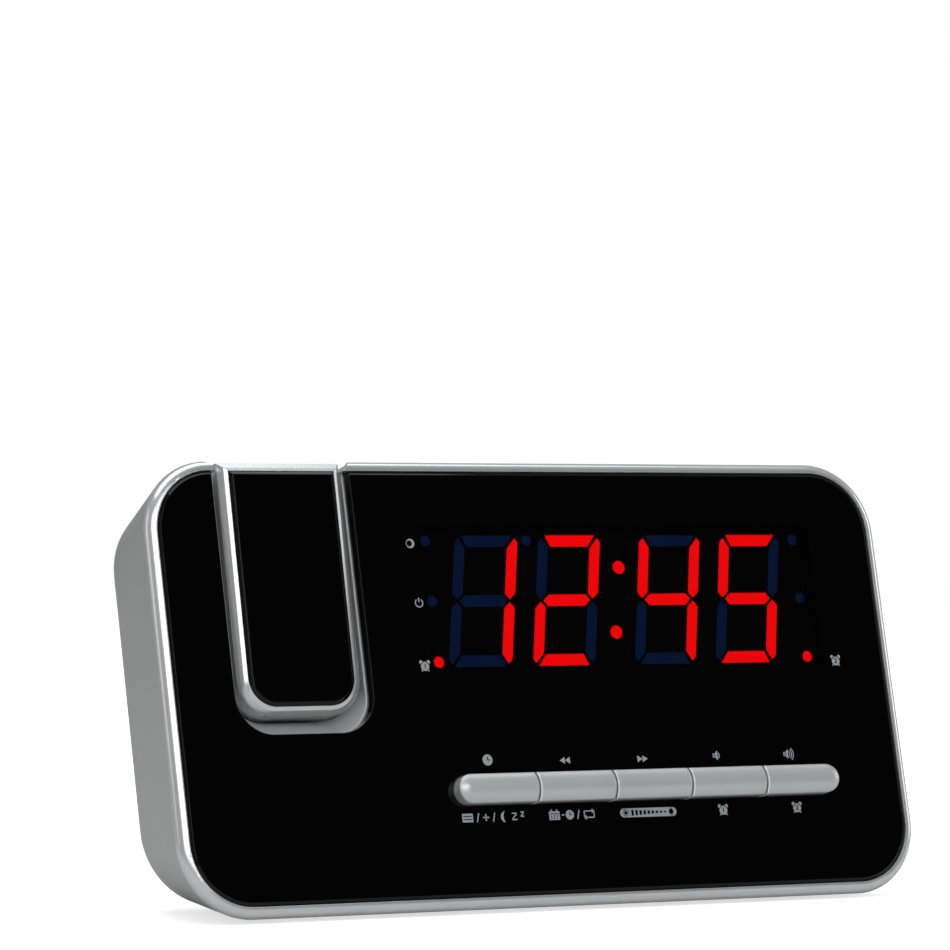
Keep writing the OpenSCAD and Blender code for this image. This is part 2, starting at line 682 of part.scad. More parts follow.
// ---------- projector cradle and hinge ----------
module arm_cradle() color([0.62, 0.63, 0.65]) on_face() translate([arm_u, 0, 0]) difference() {
    behind(panel_t, cradle_depth - panel_t)
        u_outline(2*cradle_out, cut_low - cradle_wall, top_v - 2*fit, cut_r + cradle_wall);
    behind(panel_t - through, cradle_back - panel_t + through)
        u_outline(pocket_w, cradle_low, far_top, arm_r + cover_gap);
    // finger scoop under the arm
    hull() {
        behind(panel_t - sliver, sliver)
            u_outline(pocket_w, cut_low + cradle_lip, far_top, cut_r - cradle_lip);
        behind(scoop_end, sliver) u_outline(pocket_w, cradle_low, far_top, arm_r + cover_gap);
    }
    behind(0, cradle_depth + through) arm_mouth(pocket_w/2);
    for (side = [-1, 1]) translate([side*pocket_w/2 - 5, hinge_v, -hinge_w]) rotate([0, 90, 0])
        cylinder(r = pin_r + sliver, h = 10);
}
module hinge_pins() color([0.75, 0.76, 0.78]) on_face() for (side = [-1, 1])
    translate([arm_u, hinge_v, -hinge_w]) rotate([0, side*90, 0])
        translate([0, 0, arm_half - pin_in]) cylinder(r = pin_r, h = pin_in + cover_gap + cradle_wall);
module friction_washers() color([0.85, 0.85, 0.80]) on_face() for (side = [-1, 1])
    translate([arm_u, hinge_v, -hinge_w]) rotate([0, side*90, 0])
        translate([0, 0, arm_half + pin_run]) tube(knuckle_r - 0.4, pin_r + pin_run, cover_gap - 2*pin_run);

// ---------- projector arm ----------
// Side profile of the arm: flat front and back, rounded round the hinge axis
module arm_profile() translate([-arm_w, 0, 0]) rotate([90, 0, 90]) linear_extrude(2*arm_w) {
    translate([arm_low - 1, -arm_back]) square([hinge_v - arm_low + 1, arm_back - arm_sink + sliver]);
    translate([arm_low - 1, -hinge_w]) square([arm_top - arm_low + 1, hinge_w - arm_sink + sliver]);
    translate([hinge_v, -hinge_w]) circle(knuckle_r);
}
module optic_axis(v) translate([0, v, -optic_w]) rotate([-90, 0, 0]) children();
module arm_frame() color([0.72, 0.73, 0.74]) on_arm() difference() {
    union() {
        hull() {
            behind(arm_sink, sliver) u_outline(arm_w, arm_low, arm_top, arm_r);
            behind(-rim_foot, sliver)
                u_outline(arm_w - 2*arm_bevel, arm_low + arm_bevel, arm_top - arm_bevel, arm_r - arm_bevel);
            behind(-rim_front, sliver)
                u_outline(arm_w - 2*crest_in, arm_low + crest_in, arm_top - crest_in, arm_r - crest_in);
        }
        intersection() {
            behind(arm_sink - sliver, arm_back) u_outline(arm_w, arm_low, arm_top, arm_r);
            arm_profile();
        }
    }
    translate([0, 0, insert_seat]) linear_extrude(10)
        u_outline(arm_w - 2*rim_in, arm_low + rim_in, arm_top - rim_in, arm_r - rim_in);
    difference() {
        behind(-arm_floor, 60) u_outline(arm_w - 2*arm_wall, arm_low + arm_wall, mount_low, arm_r - arm_wall);
        for (p = cover_screws) translate([p[0], p[1], arm_wall - arm_back])
            cylinder(r = board_post_r, h = arm_back);
        // ledges that carry the arm's board
        for (side = [-1, 1])
            translate([side*(arm_half - arm_wall), arm_board_v - led_board_t - 1.5, -optic_w])
                cube([3, 3, led_board_d], center = true);
    }
    for (p = cover_screws) translate([p[0], p[1], -arm_back])
        cylinder(r = small_screw_r, h = arm_wall + small_screw_l);
    optic_axis(mount_low - 1) cylinder(r = ring_r + run, h = 30);
    for (side = [-1, 1]) translate([side*(arm_half + 1), hinge_v, -hinge_w]) rotate([0, -side*90, 0])
        cylinder(r = pin_r + pin_run, h = pin_in + 1 + run);
}
module arm_insert() color([0.02, 0.02, 0.025]) on_arm() hull() {
    edge = rim_in + fit;
    top_edge = edge + insert_bevel;
    translate([0, 0, insert_seat]) linear_extrude(insert_t)
        u_outline(arm_w - 2*edge, arm_low + edge, arm_top - edge, arm_r - edge);
    translate([0, 0, insert_seat]) linear_extrude(insert_t + insert_rise)
        u_outline(arm_w - 2*top_edge, arm_low + top_edge, arm_top - top_edge, arm_r - top_edge);
}
module arm_back_cover() color([0.55, 0.56, 0.58]) on_arm() difference() {
    translate([0, 0, -arm_back]) linear_extrude(arm_wall)
        u_outline(arm_w - 2*cover_in, arm_low + cover_in, mount_low - fit, arm_r - cover_in);
    for (p = cover_screws) translate([p[0], p[1], -arm_back - 1]) {
        cylinder(r = small_screw_r + fit, h = arm_wall + 2);
        cylinder(r = cover_head_r + fit, h = 1 + cover_head_h);
    }
}
module arm_screws() color([0.5, 0.5, 0.52]) on_arm() for (p = cover_screws)
    translate([p[0], p[1], -arm_back]) {
    cylinder(r = cover_head_r, h = cover_head_h);
    cylinder(r = small_screw_r - sliver, h = arm_wall + small_screw_l - 1);
}
module light_tunnel() color([0.06, 0.06, 0.06]) on_arm() difference() {
    union() {
        optic_axis(tunnel_low) cylinder(r = tunnel_r, h = tunnel_l);
        // foot that stands on the arm's board
        translate([0, tunnel_low - 1, -optic_w]) cube([2*tunnel_r + 4, 2, 2*tunnel_r - 2], center = true);
    }
    optic_axis(tunnel_low - 5) cylinder(r = tunnel_r - 1, h = tunnel_l + 10);
}
module condenser_lens() color([0.85, 0.9, 0.95]) on_arm() optic_axis(tunnel_low + 7)
    cylinder(r = tunnel_r - 1 - sliver, h = 2.4);
module time_slide() color([0.2, 0.25, 0.3]) on_arm() optic_axis(tunnel_low + 12)
    cylinder(r = tunnel_r - 1 - sliver, h = 1.1);
module projector_led() color([0.9, 0.15, 0.12]) on_arm() optic_axis(arm_board_v) {
    cylinder(r = led_r + 0.5, h = 1.2);
    cylinder(r = led_r, h = 4);
    translate([0, 0, 4]) sphere(r = led_r);
}
module arm_board() color(board_green) on_arm() translate([0, arm_board_v - led_board_t/2, -optic_w])
    cube([2*(arm_half - arm_wall - fit), led_board_t, led_board_d], center = true);

module focus_ring() color([0.08, 0.08, 0.08]) on_arm() optic_axis(ring_low) difference() {
    cylinder(r = ring_r, h = ring_l);
    translate([0, 0, -1]) cylinder(r = lens_r - 0.5, h = ring_l + 2);
    translate([0, 0, ring_l - lens_well]) cylinder(r = lens_r + pin_run, h = lens_well + 1);
    for (a = [0:45:315]) rotate([0, 0, a]) translate([ring_r, 0, ring_l - 1]) cylinder(r = 0.5, h = 2);
}
module projection_lens() color([0.8, 0.88, 0.95]) on_arm() optic_axis(lens_v) {
    cylinder(r = lens_r, h = lens_t);
    translate([0, 0, lens_t]) intersection() {
        cylinder(r = lens_r, h = lens_bulge);
        dome_r = (lens_r*lens_r + lens_bulge*lens_bulge)/(2*lens_bulge);
        translate([0, 0, lens_bulge - dome_r]) sphere(r = dome_r);
    }
}

// ---------- front buttons ----------
// A crowned roll with rounded ends over a plain block
module cap_crown() {
    crown_r = (pow(button_h/2, 2) + pow(button_crown, 2))/(2*button_crown);
    crown_l = bank_l - button_h + 2*(crown_r + crown_cut);
    translate([0, 0, button_edge + button_crown - crown_r]) rotate([0, 90, 0]) rotate_extrude()
        intersection() {
            rotate(90) pill(crown_l, 2*crown_r);
            translate([0, -crown_l]) square([crown_r + through, 2*crown_l]);
        }
    translate([-bank_l, -button_h, -chassis_back]) cube([2*bank_l, 2*button_h, chassis_back + button_edge]);
}
// What a button takes of the whole bank: the end buttons keep the bank's rounded ends
module bank_slice(i) {
    slice = button_pitch - button_gap;
    end_side = i == 0 ? -1 : i == button_n - 1 ? 1 : 0;
    translate([(i - (button_n - 1)/2)*button_pitch + end_side*flange_end/2, 0, 0])
        cube([slice + abs(end_side)*flange_end, 4*button_h, 8*button_h], center = true);
}
module front_button(i) color([0.80, 0.81, 0.82]) on_face() translate([bank_u, bank_v, 0]) {
    intersection() {
        behind(-2*button_h, 2*button_h + flange_back) pill(bank_l, button_h);
        cap_crown();
        bank_slice(i);
    }
    intersection() {
        behind(flange_front, flange_t) pill(bank_l + 2*flange_rim, button_h + 2*flange_rim);
        bank_slice(i);
    }
    translate([(i - (button_n - 1)/2)*button_pitch, 0, -button_board_w + switch_h - stem_in])
        cylinder(r = stem_r, h = button_board_w - switch_h + stem_in - flange_front);
}
module switch_body(travel) difference() {
    translate([-switch_w/2, -switch_w/2, 0]) cube([switch_w, switch_w, switch_h]);
    translate([0, 0, switch_h - stem_in - travel - 0.3]) cylinder(r = stem_r + fit, h = switch_h);
}
module front_switches() color([0.15, 0.15, 0.16]) on_face()
    for (i = [0:button_n - 1])
        translate([bank_u + (i - (button_n - 1)/2)*button_pitch, bank_v, -button_board_w])
            switch_body(button_travel);
module button_board() color(board_green) on_face() difference() {
    behind(button_board_w, board_t) translate([(button_posts[0] + button_posts[1])/2, bank_v])
        square([button_posts[1] - button_posts[0] + 6, 2*(board_post_r + 4)], center = true);
    for (u = button_posts) translate([u, bank_v, -button_board_w - board_t - through])
        cylinder(r = small_screw_r + fit, h = board_t + 2*through);
}

// ---------- top buttons ----------
module top_key(i) color([0.74, 0.75, 0.76]) on_top() translate([key_middles[i], top_key_y, 0]) {
    hull() {
        translate([0, 0, -wall]) linear_extrude(wall + top_key_h - 0.5) pill(key_lengths[i], top_key_w);
        translate([0, 0, -wall]) linear_extrude(wall + top_key_h) pill(key_lengths[i] - 1, top_key_w - 1);
    }
    translate([0, 0, -top_flange - flange_t]) linear_extrude(flange_t + run + sliver)
        pill(key_lengths[i], top_key_w);
    translate([0, 0, -top_flange - flange_t]) linear_extrude(flange_t)
        pill(key_lengths[i] + 2*flange_rim, top_key_w + 2*flange_rim);
    translate([0, 0, -top_board_z + switch_h - stem_in])
        cylinder(r = stem_r, h = top_board_z - switch_h + stem_in - top_flange);
}
module top_switches() color([0.15, 0.15, 0.16]) on_top() for (i = [0:2])
    translate([key_middles[i], top_key_y, -top_board_z]) switch_body(top_travel);
module top_board() color(board_green) on_top() difference() {
    translate([key_middles[0] - 8, top_key_y - 8, -top_board_z - board_t])
        cube([key_middles[2] - key_middles[0] + 16, top_post_y + board_post_r - top_key_y + 8, board_t]);
    for (u = top_posts) translate([u, top_post_y, -top_board_z - board_t - through])
        cylinder(r = small_screw_r + fit, h = board_t + 2*through);
}

// ---------- display ----------
function slanted(points) = [for (p = points) [p[0] + p[1]*tan(slant), p[1]]];
// Outline of one segment, 0 to 6 for a to g, round the digit's middle
module segment(which) {
    x = digit_w/2;
    y = digit_h/2;
    t = segment_w;
    end = segment_gap + t/3;
    bar = [[-x + end, y], [x - end, y], [x - end - t + 1, y - t], [-x + end + t - 1, y - t]];
    post = [[x, y - end], [x - t/3, y - segment_gap], [x - t, y - t - segment_gap/2],
            [x - t, t/2 + segment_gap/2], [x - t/2, segment_gap/2], [x, t/2 + segment_gap/2]];
    middle = [[-x + t/2 + segment_gap, 0], [-x + t + segment_gap, t/2], [x - t - segment_gap, t/2],
              [x - t/2 - segment_gap, 0], [x - t - segment_gap, -t/2], [-x + t + segment_gap, -t/2]];
    outlines = [bar, post, [for (p = post) [p[0], -p[1]]], [for (p = bar) [p[0], -p[1]]],
                [for (p = post) -p], [for (p = post) [-p[0], p[1]]], middle];
    polygon(slanted(outlines[which]));
}
lit_digits = [[1, 2], [0, 1, 6, 4, 3], [5, 6, 1, 2], [0, 5, 6, 2, 3]];
function is_lit(digit, which) = len([for (s = lit_digits[digit]) if (s == which) s]) > 0;
dot_places = [for (side = [0, 1], row = [-1:1]) [side == 0 ? -dot_left : dot_right, row*dot_pitch]];
module display_shapes(lit) translate([display_u, display_v]) {
    for (d = [0:3], which = [0:6]) if (is_lit(d, which) == lit) translate([digit_u[d], 0]) segment(which);
    for (p = dot_places) if ((p[1] < 0) == lit) translate(p) circle(dot_r);
    if (lit) for (y = [-1, 1]) translate([y*digit_h/4*tan(slant), y*digit_h/4]) circle(colon_r);
    if (!lit) translate([digit_u[1] - digit_w/2 - segment_gap, dot_pitch]) circle(dot_r);
}
module lit_segments() color([1.0, 0.02, 0.03]) on_face() behind(reflector_front, segment_d)
    display_shapes(true);
module unlit_segments() color([0.02, 0.08, 0.19]) on_face() behind(reflector_front, segment_d)
    display_shapes(false);
module display_reflector() color([0.05, 0.05, 0.06]) on_face() difference() {
    union() {
        behind(reflector_front, reflector_d) translate([display_mid, display_v])
            square([display_w, display_h], center = true);
        // lugs behind the chassis plate
        behind(chassis_back, lug_t) translate([display_mid, display_v])
            square([lug_posts[1] - lug_posts[0] + 5, 6], center = true);
    }
    behind(reflector_front - 1, segment_d + 1) {
        display_shapes(true);
        display_shapes(false);
    }
    for (u = lug_posts) translate([u, display_v, -chassis_back - lug_t - through])
        cylinder(r = small_screw_r + fit, h = lug_t + 2*through);
}
module display_film() color([0.05, 0.03, 0.06]) on_face() behind(panel_t, film_t)
    translate([display_mid, display_v]) square([display_w, display_h], center = true);
module display_board() color(board_green) on_face() behind(board_front, board_t)
    translate([display_mid, display_v]) square([display_w, display_h - 1], center = true);

// ---------- main board ----------
module main_board() color(board_green) on_face() difference() {
    behind(main_w, board_t) translate(main_mid)
        square([main_right - main_left, main_top - main_low], center = true);
    for (p = main_posts) translate([p[0], p[1], -main_back - through])
        cylinder(r = small_screw_r + fit, h = board_t + 2*through);
}
module part_block(u, v, w, h, t) behind(main_back, t) translate([main_left + u, main_low + v])
    square([w, h], center = true);
module board_chips() color([0.06, 0.06, 0.07]) on_face() {
    part_block(22, 30, 14, 14, 1.6);
    part_block(18, 12, 9, 6, 1.4);
    part_block(40, 8, 12, 7, 1.8);
    part_block(8, 24, 3.5, 11, 3.5);
    part_block(74, 12, 14, 5, 6);
}
module tuner_can() color([0.75, 0.75, 0.72]) on_face() part_block(can_u, row_v, can_w, can_h, can_d);
module capacitors() color([0.10, 0.13, 0.30]) on_face()
    for (p = [[10, row_v, 4], [22, row_v, 4], [34, row_v, 3.2], [46, row_v, 3.2], [30, 18, 2.5]])
        translate([main_left + p[0], main_low + p[1], -main_back - 2.2*p[2]])
            cylinder(r = p[2], h = 2.2*p[2]);
module small_screw(length) {
    cylinder(r = small_head_r, h = small_head_h);
    translate([0, 0, small_head_h - sliver]) cylinder(r = small_screw_r - sliver, h = length + sliver);
}
module board_screws() color([0.70, 0.68, 0.60]) {
    on_face() {
        for (p = main_posts) translate([p[0], p[1], -main_back - small_head_h])
            small_screw(small_screw_l - 1);
        for (u = button_posts) translate([u, bank_v, -button_board_w - board_t - small_head_h])
            small_screw(small_screw_l - 1.5);
        for (u = lug_posts) translate([u, display_v, -chassis_back - lug_t - small_head_h])
            small_screw(lug_t + chassis_t - 0.7);
    }
    on_top() for (u = top_posts) translate([u, top_post_y, -top_board_z - board_t - small_head_h])
        small_screw(small_screw_l);
}

// ---------- loudspeaker ----------
module on_speaker() on_face() translate([speaker_u, speaker_v, -inner_back]) children();
module speaker_basket() color([0.12, 0.12, 0.12]) on_speaker() difference() {
    union() {
        cylinder(r = speaker_r, h = basket_rim_t);
        cylinder(r1 = speaker_r - flange_w + 1, r2 = magnet_r, h = basket_d);
    }
    translate([0, 0, -sliver]) cylinder(r1 = speaker_r - flange_w, r2 = magnet_r - 1, h = basket_d - 1);
    translate([0, 0, -1]) cylinder(r = magnet_r/2, h = basket_d + 2);
    for (a = [0:60:300]) rotate([0, 0, a]) translate([magnet_r + 1, -4, 2.5])
        cube([speaker_r, 8, basket_d - 5]);
}
module speaker_cone() color([0.16, 0.16, 0.17]) on_speaker() {
    tube(speaker_r - flange_w - 1.3, speaker_r - flange_w - 4, 0.8);
    difference() {
        cylinder(r1 = speaker_r - flange_w - 3, r2 = magnet_r/2 - 1, h = cone_d);
        translate([0, 0, -sliver])
            cylinder(r1 = speaker_r - flange_w - 4, r2 = magnet_r/2 - 2, h = cone_d + 2*sliver);
    }
    translate([0, 0, cone_d - sliver]) tube(magnet_r/2 - 1, magnet_r/2 - 2, 3);
    translate([0, 0, cone_d - 1]) cylinder(r = magnet_r/2 - 1.5, h = 1);
}
module speaker_magnet() color([0.25, 0.25, 0.27]) on_speaker() translate([0, 0, basket_d]) {
    cylinder(r = magnet_r, h = magnet_h - yoke_t);
    translate([0, 0, magnet_h - yoke_t]) cylinder(r = magnet_r - yoke_t, h = yoke_t);
}
module speaker_screws() color([0.6, 0.6, 0.62]) on_speaker() for (a = speaker_screw_angles) rotate([0, 0, a])
    translate([speaker_r + board_post_r + fit, 0, -0.8]) {
        cylinder(r = small_screw_r - sliver, h = 2.5);
        translate([0, 0, 2]) cylinder(r = head_r, h = 1.2);
    }

// ---------- power ----------
module on_cells() translate([0, box_mid_y, cell_z]) children();
module backup_cells() color([0.35, 0.37, 0.40]) on_cells() for (side = [-1, 1])
    translate([-cell_l/2, side*(cell_d/2 + 0.2), 0]) rotate([0, 90, 0]) {
        translate([0, 0, side > 0 ? 0 : 1]) cylinder(d = cell_d, h = cell_l - 1);
        translate([0, 0, side > 0 ? cell_l - 1 : 0]) cylinder(r = 2.4, h = 1);
    }
module cell_contacts() color([0.80, 0.78, 0.70]) on_cells() for (end = [-1, 1]) {
    translate([end*(box_w/2 - 0.2), 0, 0]) cube([0.4, box_d - 2, cell_d - 2], center = true);
    for (side = [-1, 1]) translate([end*(cell_l/4 + box_w/4 - 0.1), side*(cell_d/2 + 0.2), 0])
        rotate([0, 90, 0]) cylinder(r = 2, h = box_w/2 - cell_l/2 - 0.2, center = true);
}
module battery_door() color([0.60, 0.61, 0.62]) {
    intersection() {
        translate([-door_w/2, door_y, foot_h]) cube([door_w, door_l, door_t]);
        on_face() housing_outside();
    }
    translate([-door_w/2 - tongue, door_y, foot_h + door_t - tongue_h])
        cube([door_w + 2*tongue, door_l - tongue_short, tongue_h]);
}
module power_jack() color([0.07, 0.07, 0.07]) on_face() translate([jack_u, jack_v, -inner_back]) {
    difference() {
        union() {
            linear_extrude(jack_l) square(jack_w, center = true);
            translate([0, 0, -wall]) cylinder(d = jack_bore + 1.4, h = wall + sliver);
        }
        translate([0, 0, -wall - 1]) cylinder(d = jack_bore, h = jack_l + wall - 1);
    }
    cylinder(d = jack_pin, h = jack_l - 1);
}
module aerial_gland() color([0.08, 0.08, 0.08]) on_face()
    translate([jack_u + gland_space, jack_v, -back_w_face]) difference() {
    union() {
        cylinder(d = gland_d, h = wall + 1.2);
        translate([0, 0, wall]) cylinder(d = gland_d + 2.4, h = 1.2);
        translate([0, 0, -1]) cylinder(d = gland_d + 2, h = 1);
    }
    translate([0, 0, -2]) cylinder(r = 1.1, h = wall + 5);
}

module clock_button() front_button(0);
module back_button() front_button(1);
module forward_button() front_button(2);
module volume_down_button() front_button(3);
module volume_up_button() front_button(4);
module projector_key() top_key(0);
module snooze_bar() top_key(1);
module power_key() top_key(2);

front_bezel();
front_panel();
front_chassis();
rear_housing();
arm_cradle();
hinge_pins();
friction_washers();
display_film();
display_reflector();
lit_segments();
unlit_segments();
display_board();
main_board();
board_chips();
tuner_can();
capacitors();
button_board();
front_switches();
top_board();
top_switches();
speaker_basket();
speaker_cone();
speaker_magnet();
speaker_screws();
backup_cells();
cell_contacts();
power_jack();
aerial_gland();
rubber_feet();
housing_screws();
board_screws();
arm_frame();
arm_insert();
arm_back_cover();
arm_screws();
light_tunnel();
projector_led();
time_slide();
condenser_lens();
arm_board();
focus_ring();
projection_lens();
clock_button();
back_button();
forward_button();
volume_down_button();
volume_up_button();
snooze_bar();
projector_key();
power_key();
battery_door();
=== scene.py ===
"""Blender 4.5 scene of a projection clock radio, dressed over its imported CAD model.

Everything is in metres in the model's own frame: +X right, +Y back, +Z up. The face
leans back; its own frame runs x right, y up the slope and z out of the panel.
"""

import math

import bpy
from mathutils import Matrix, Vector
from mathutils.bvhtree import BVHTree


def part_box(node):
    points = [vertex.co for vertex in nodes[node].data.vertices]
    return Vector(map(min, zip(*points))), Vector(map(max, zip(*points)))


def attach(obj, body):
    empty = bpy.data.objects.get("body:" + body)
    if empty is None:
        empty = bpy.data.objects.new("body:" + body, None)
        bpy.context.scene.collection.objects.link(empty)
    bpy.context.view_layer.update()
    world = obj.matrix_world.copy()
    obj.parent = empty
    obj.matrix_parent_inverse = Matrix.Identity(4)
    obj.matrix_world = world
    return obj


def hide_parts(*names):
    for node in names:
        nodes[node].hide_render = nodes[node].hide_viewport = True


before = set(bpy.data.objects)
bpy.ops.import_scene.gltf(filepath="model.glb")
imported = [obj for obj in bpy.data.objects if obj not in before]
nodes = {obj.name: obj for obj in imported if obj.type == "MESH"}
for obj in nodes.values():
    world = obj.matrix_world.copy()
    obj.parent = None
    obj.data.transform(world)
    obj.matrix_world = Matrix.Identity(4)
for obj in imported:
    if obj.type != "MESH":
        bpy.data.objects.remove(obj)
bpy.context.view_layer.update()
bpy.ops.object.select_all(action="DESELECT")
bpy.context.scene.view_settings.view_transform = "Standard"

# ---------------------------------------------------------------------------
# Camera
# A long lens from the front left, level with the upper half of the set. Image
# points are pixels of the 950 x 950 frame: where the printed symbols stand on the panel.
# ---------------------------------------------------------------------------
W = H = 950
camera_place = Vector((-0.5805, -1.0268, 0.08994))
camera_aim = Vector((0.48837, 0.87259, 0.008866))
camera_lens = 189.59
camera_sensor = 36
camera_shift = (0.0, 0.0)
first_symbol_point, last_symbol_point = (487.5, 760.0), (789.0, 754.0)
first_label_point, last_label_point = (494.4, 817.2), (797.0, 807.4)
day_symbol_point = (410.0, 543.5)
power_symbol_point = (419.0, 603.0)
left_alarm_point = (425.0, 666.0)
right_alarm_point = (835.5, 660.5)

bpy.ops.object.camera_add(location=camera_place)
camera = bpy.context.object
camera.name = "camera"
camera.rotation_euler = camera_aim.to_track_quat("-Z", "Y").to_euler()
camera.data.sensor_fit = "AUTO"
camera.data.sensor_width = camera_sensor
camera.data.lens = camera_lens
camera.data.shift_x, camera.data.shift_y = camera_shift
camera.data.clip_start, camera.data.clip_end = 0.05, 30
bpy.context.scene.camera = camera
bpy.context.view_layer.update()
camera_matrix = camera.matrix_world.copy()
long_side = max(W, H)


def seen_place(point, *carriers):
    """Where the ray through an image point meets the carriers, or their place nearest it."""
    x, y = point
    ray = Vector((x - W/2 + camera_shift[0]*long_side, H/2 - y + camera_shift[1]*long_side,
                  -long_side*camera_lens/camera_sensor))
    start = camera_matrix.translation
    aim = (camera_matrix.to_3x3() @ ray).normalized()
    hits, misses = [], []
    depsgraph = bpy.context.evaluated_depsgraph_get()
    for carrier in carriers:
        tree = BVHTree.FromObject(carrier, depsgraph)
        place, _, _, distance = tree.ray_cast(start, aim)
        if place is not None:
            hits.append((distance, place))
        for vertex in carrier.data.vertices:
            along = (vertex.co - start).dot(aim)
            misses.append(((vertex.co - start - aim*along).length, vertex.co.copy()))
    return min(hits or misses, key=lambda found: found[0])[1]


# ---------------------------------------------------------------------------
# Studio
# A pale paper floor and a white room with four soft boxes. Where the gloss panel
# mirrors the room hangs a black cloth, which only mirrored and refracted rays see.
# ---------------------------------------------------------------------------
def linear(colour):
    """An sRGB hex colour as linear RGBA."""
    parts = [int(colour[i:i + 2], 16)/255 for i in (1, 3, 5)]
    return [c/12.92 if c <= 0.04045 else ((c + 0.055)/1.055)**2.4 for c in parts] + [1.0]


def add_node(tree, kind, sockets=None, **settings):
    """Adds a node with its settings; a socket takes a value or another node's output."""
    node = tree.nodes.new("ShaderNode" + kind)
    for name, value in settings.items():
        setattr(node, name, value)
    for name, value in (sockets or {}).items():
        if isinstance(value, bpy.types.NodeSocket):
            tree.links.new(value, node.inputs[name])
        else:
            node.inputs[name].default_value = value
    return node


room_fill = 0.3
room_mirrored = 0.28
room_dark = 0.01
cloth_place = (0.493, -0.755, 0.433)  # its direction from the set
cloth_core, cloth_edge = 15, 32  # degrees from its middle to full black, and to its end
world = bpy.data.worlds.new("studio room")
bpy.context.scene.world = world
world.use_nodes = True
tree = world.node_tree
tree.nodes.clear()
ray = add_node(tree, "LightPath")
direction = add_node(tree, "TexCoord").outputs["Generated"]
# How far a direction lies inside the cloth
aside = add_node(tree, "VectorMath", {0: direction, 1: cloth_place}, operation="DOT_PRODUCT")
cloth = add_node(tree, "MapRange", {0: aside.outputs["Value"], 1: math.cos(math.radians(cloth_edge)),
                                    2: math.cos(math.radians(cloth_core))},
                 interpolation_type="SMOOTHSTEP")
mirrored = add_node(tree, "MapRange", {0: cloth.outputs[0], 3: room_mirrored, 4: room_dark})
shiny = add_node(tree, "Math", {0: ray.outputs["Is Glossy Ray"], 1: ray.outputs["Is Transmission Ray"]},
                 operation="MAXIMUM")
lit_room = add_node(tree, "Mix", {0: shiny.outputs[0], 2: room_fill, 3: mirrored.outputs[0]},
                    data_type="FLOAT")
level = add_node(tree, "Mix", {0: ray.outputs["Is Camera Ray"], 2: lit_room.outputs[0], 3: 1.0},
                 data_type="FLOAT")
background = add_node(tree, "Background", {"Color": linear("#FFFFFF"), "Strength": level.outputs[0]})
add_node(tree, "OutputWorld", {"Surface": background.outputs[0]})


def soft_box(name, place, aim, width, height, power):
    """A rectangular studio lamp that looks from a place toward another."""
    bpy.ops.object.light_add(type="AREA", location=place)
    lamp = bpy.context.object
    lamp.name = name
    lamp.rotation_euler = (Vector(aim) - Vector(place)).to_track_quat("-Z", "Y").to_euler()
    lamp.data.shape = "RECTANGLE"
    lamp.data.size, lamp.data.size_y = width, height
    lamp.data.energy = power


soft_box("front soft box", (-0.28, -1.4, 0.75), (0, 0, 0.05), 1.4, 0.8, 11)
soft_box("left soft box", (-1.6, 0.2, 0.7), (0, 0, 0.05), 0.8, 1.0, 2)
soft_box("overhead soft box", (-0.05, 0.1, 1.5), (0, 0, 0), 1.9, 1.0, 12.5)
soft_box("right soft box", (1.6, -0.3, 0.5), (0, 0, 0.05), 0.5, 0.8, 3)

floor_radius = 4.0
floor_glow = 0.68
glow_near, glow_far = 0.3, 1.5  # distances at which the glow starts to rise and is full
bpy.ops.mesh.primitive_circle_add(vertices=96, radius=floor_radius, fill_type="NGON", location=(0, 0, 0))
floor = bpy.context.object
floor.name = "floor"


def new_finish(name):
    """A material with its node tree and its Principled shader."""
    material = bpy.data.materials.new(name)
    material.use_nodes = True
    return material, material.node_tree, material.node_tree.nodes["Principled BSDF"]


def set_sockets(shader, **values):
    """Sets the shader's plain sockets; an underscore stands for a space."""
    for name, value in values.items():
        shader.inputs[name.replace("_", " ")].default_value = value


paper, tree, shader = new_finish("matt white paper")
set_sockets(shader, Base_Color=linear("#DCDCDC"), Roughness=0.9, Specular_IOR_Level=0.1,
            Emission_Color=linear("#FFFFFF"))
ray = add_node(tree, "LightPath")
# The camera sees the paper glow, more so far from the lamps, so that it meets the room
# without an edge. Nothing else is lit by it
away = add_node(tree, "VectorMath", {0: add_node(tree, "TexCoord").outputs["Object"]}, operation="LENGTH")
fade = add_node(tree, "MapRange", {0: away.outputs["Value"], 1: glow_near, 2: glow_far,
                                   3: floor_glow, 4: 1.0})
glow = add_node(tree, "Math", {0: ray.outputs["Is Camera Ray"], 1: fade.outputs[0]}, operation="MULTIPLY")
tree.links.new(glow.outputs[0], shader.inputs["Emission Strength"])
floor.data.materials.append(paper)

# ---------------------------------------------------------------------------
# Front panel
# 3 mm acrylic, polished and sprayed black on its back but for a smoked window in
# front of the display. It sits in the bezel's opening on the chassis.
# ---------------------------------------------------------------------------
mm = 0.001
panel_mesh = nodes["front_panel"].data
flats = {}
for face in panel_mesh.polygons:
    if face.normal.y < -0.9:
        flats.setdefault(tuple(round(c, 2) for c in face.normal), []).append(face)
front_faces = max(flats.values(), key=lambda faces: sum(face.area for face in faces))
face_out = front_faces[0].normal.normalized()
face_right = Vector((1, 0, 0))
face_up = face_out.cross(face_right)
panel_low, panel_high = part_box("front_panel")
heights = [face_up.dot(vertex.co) for vertex in panel_mesh.vertices]
face_middle = (face_right*(panel_low.x + panel_high.x)/2 + face_up*(min(heights) + max(heights))/2
               + face_out*face_out.dot(panel_mesh.vertices[front_faces[0].vertices[0]].co))
face_matrix = Matrix((face_right, face_up, face_out)).transposed().to_4x4()
face_matrix.translation = face_middle
film_spots = [face_matrix.inverted() @ vertex.co for vertex in nodes["display_film"].data.vertices]
film_low, film_high = [Vector([pick(spot[axis] for spot in film_spots) for axis in range(3)])
                       for pick in (min, max)]
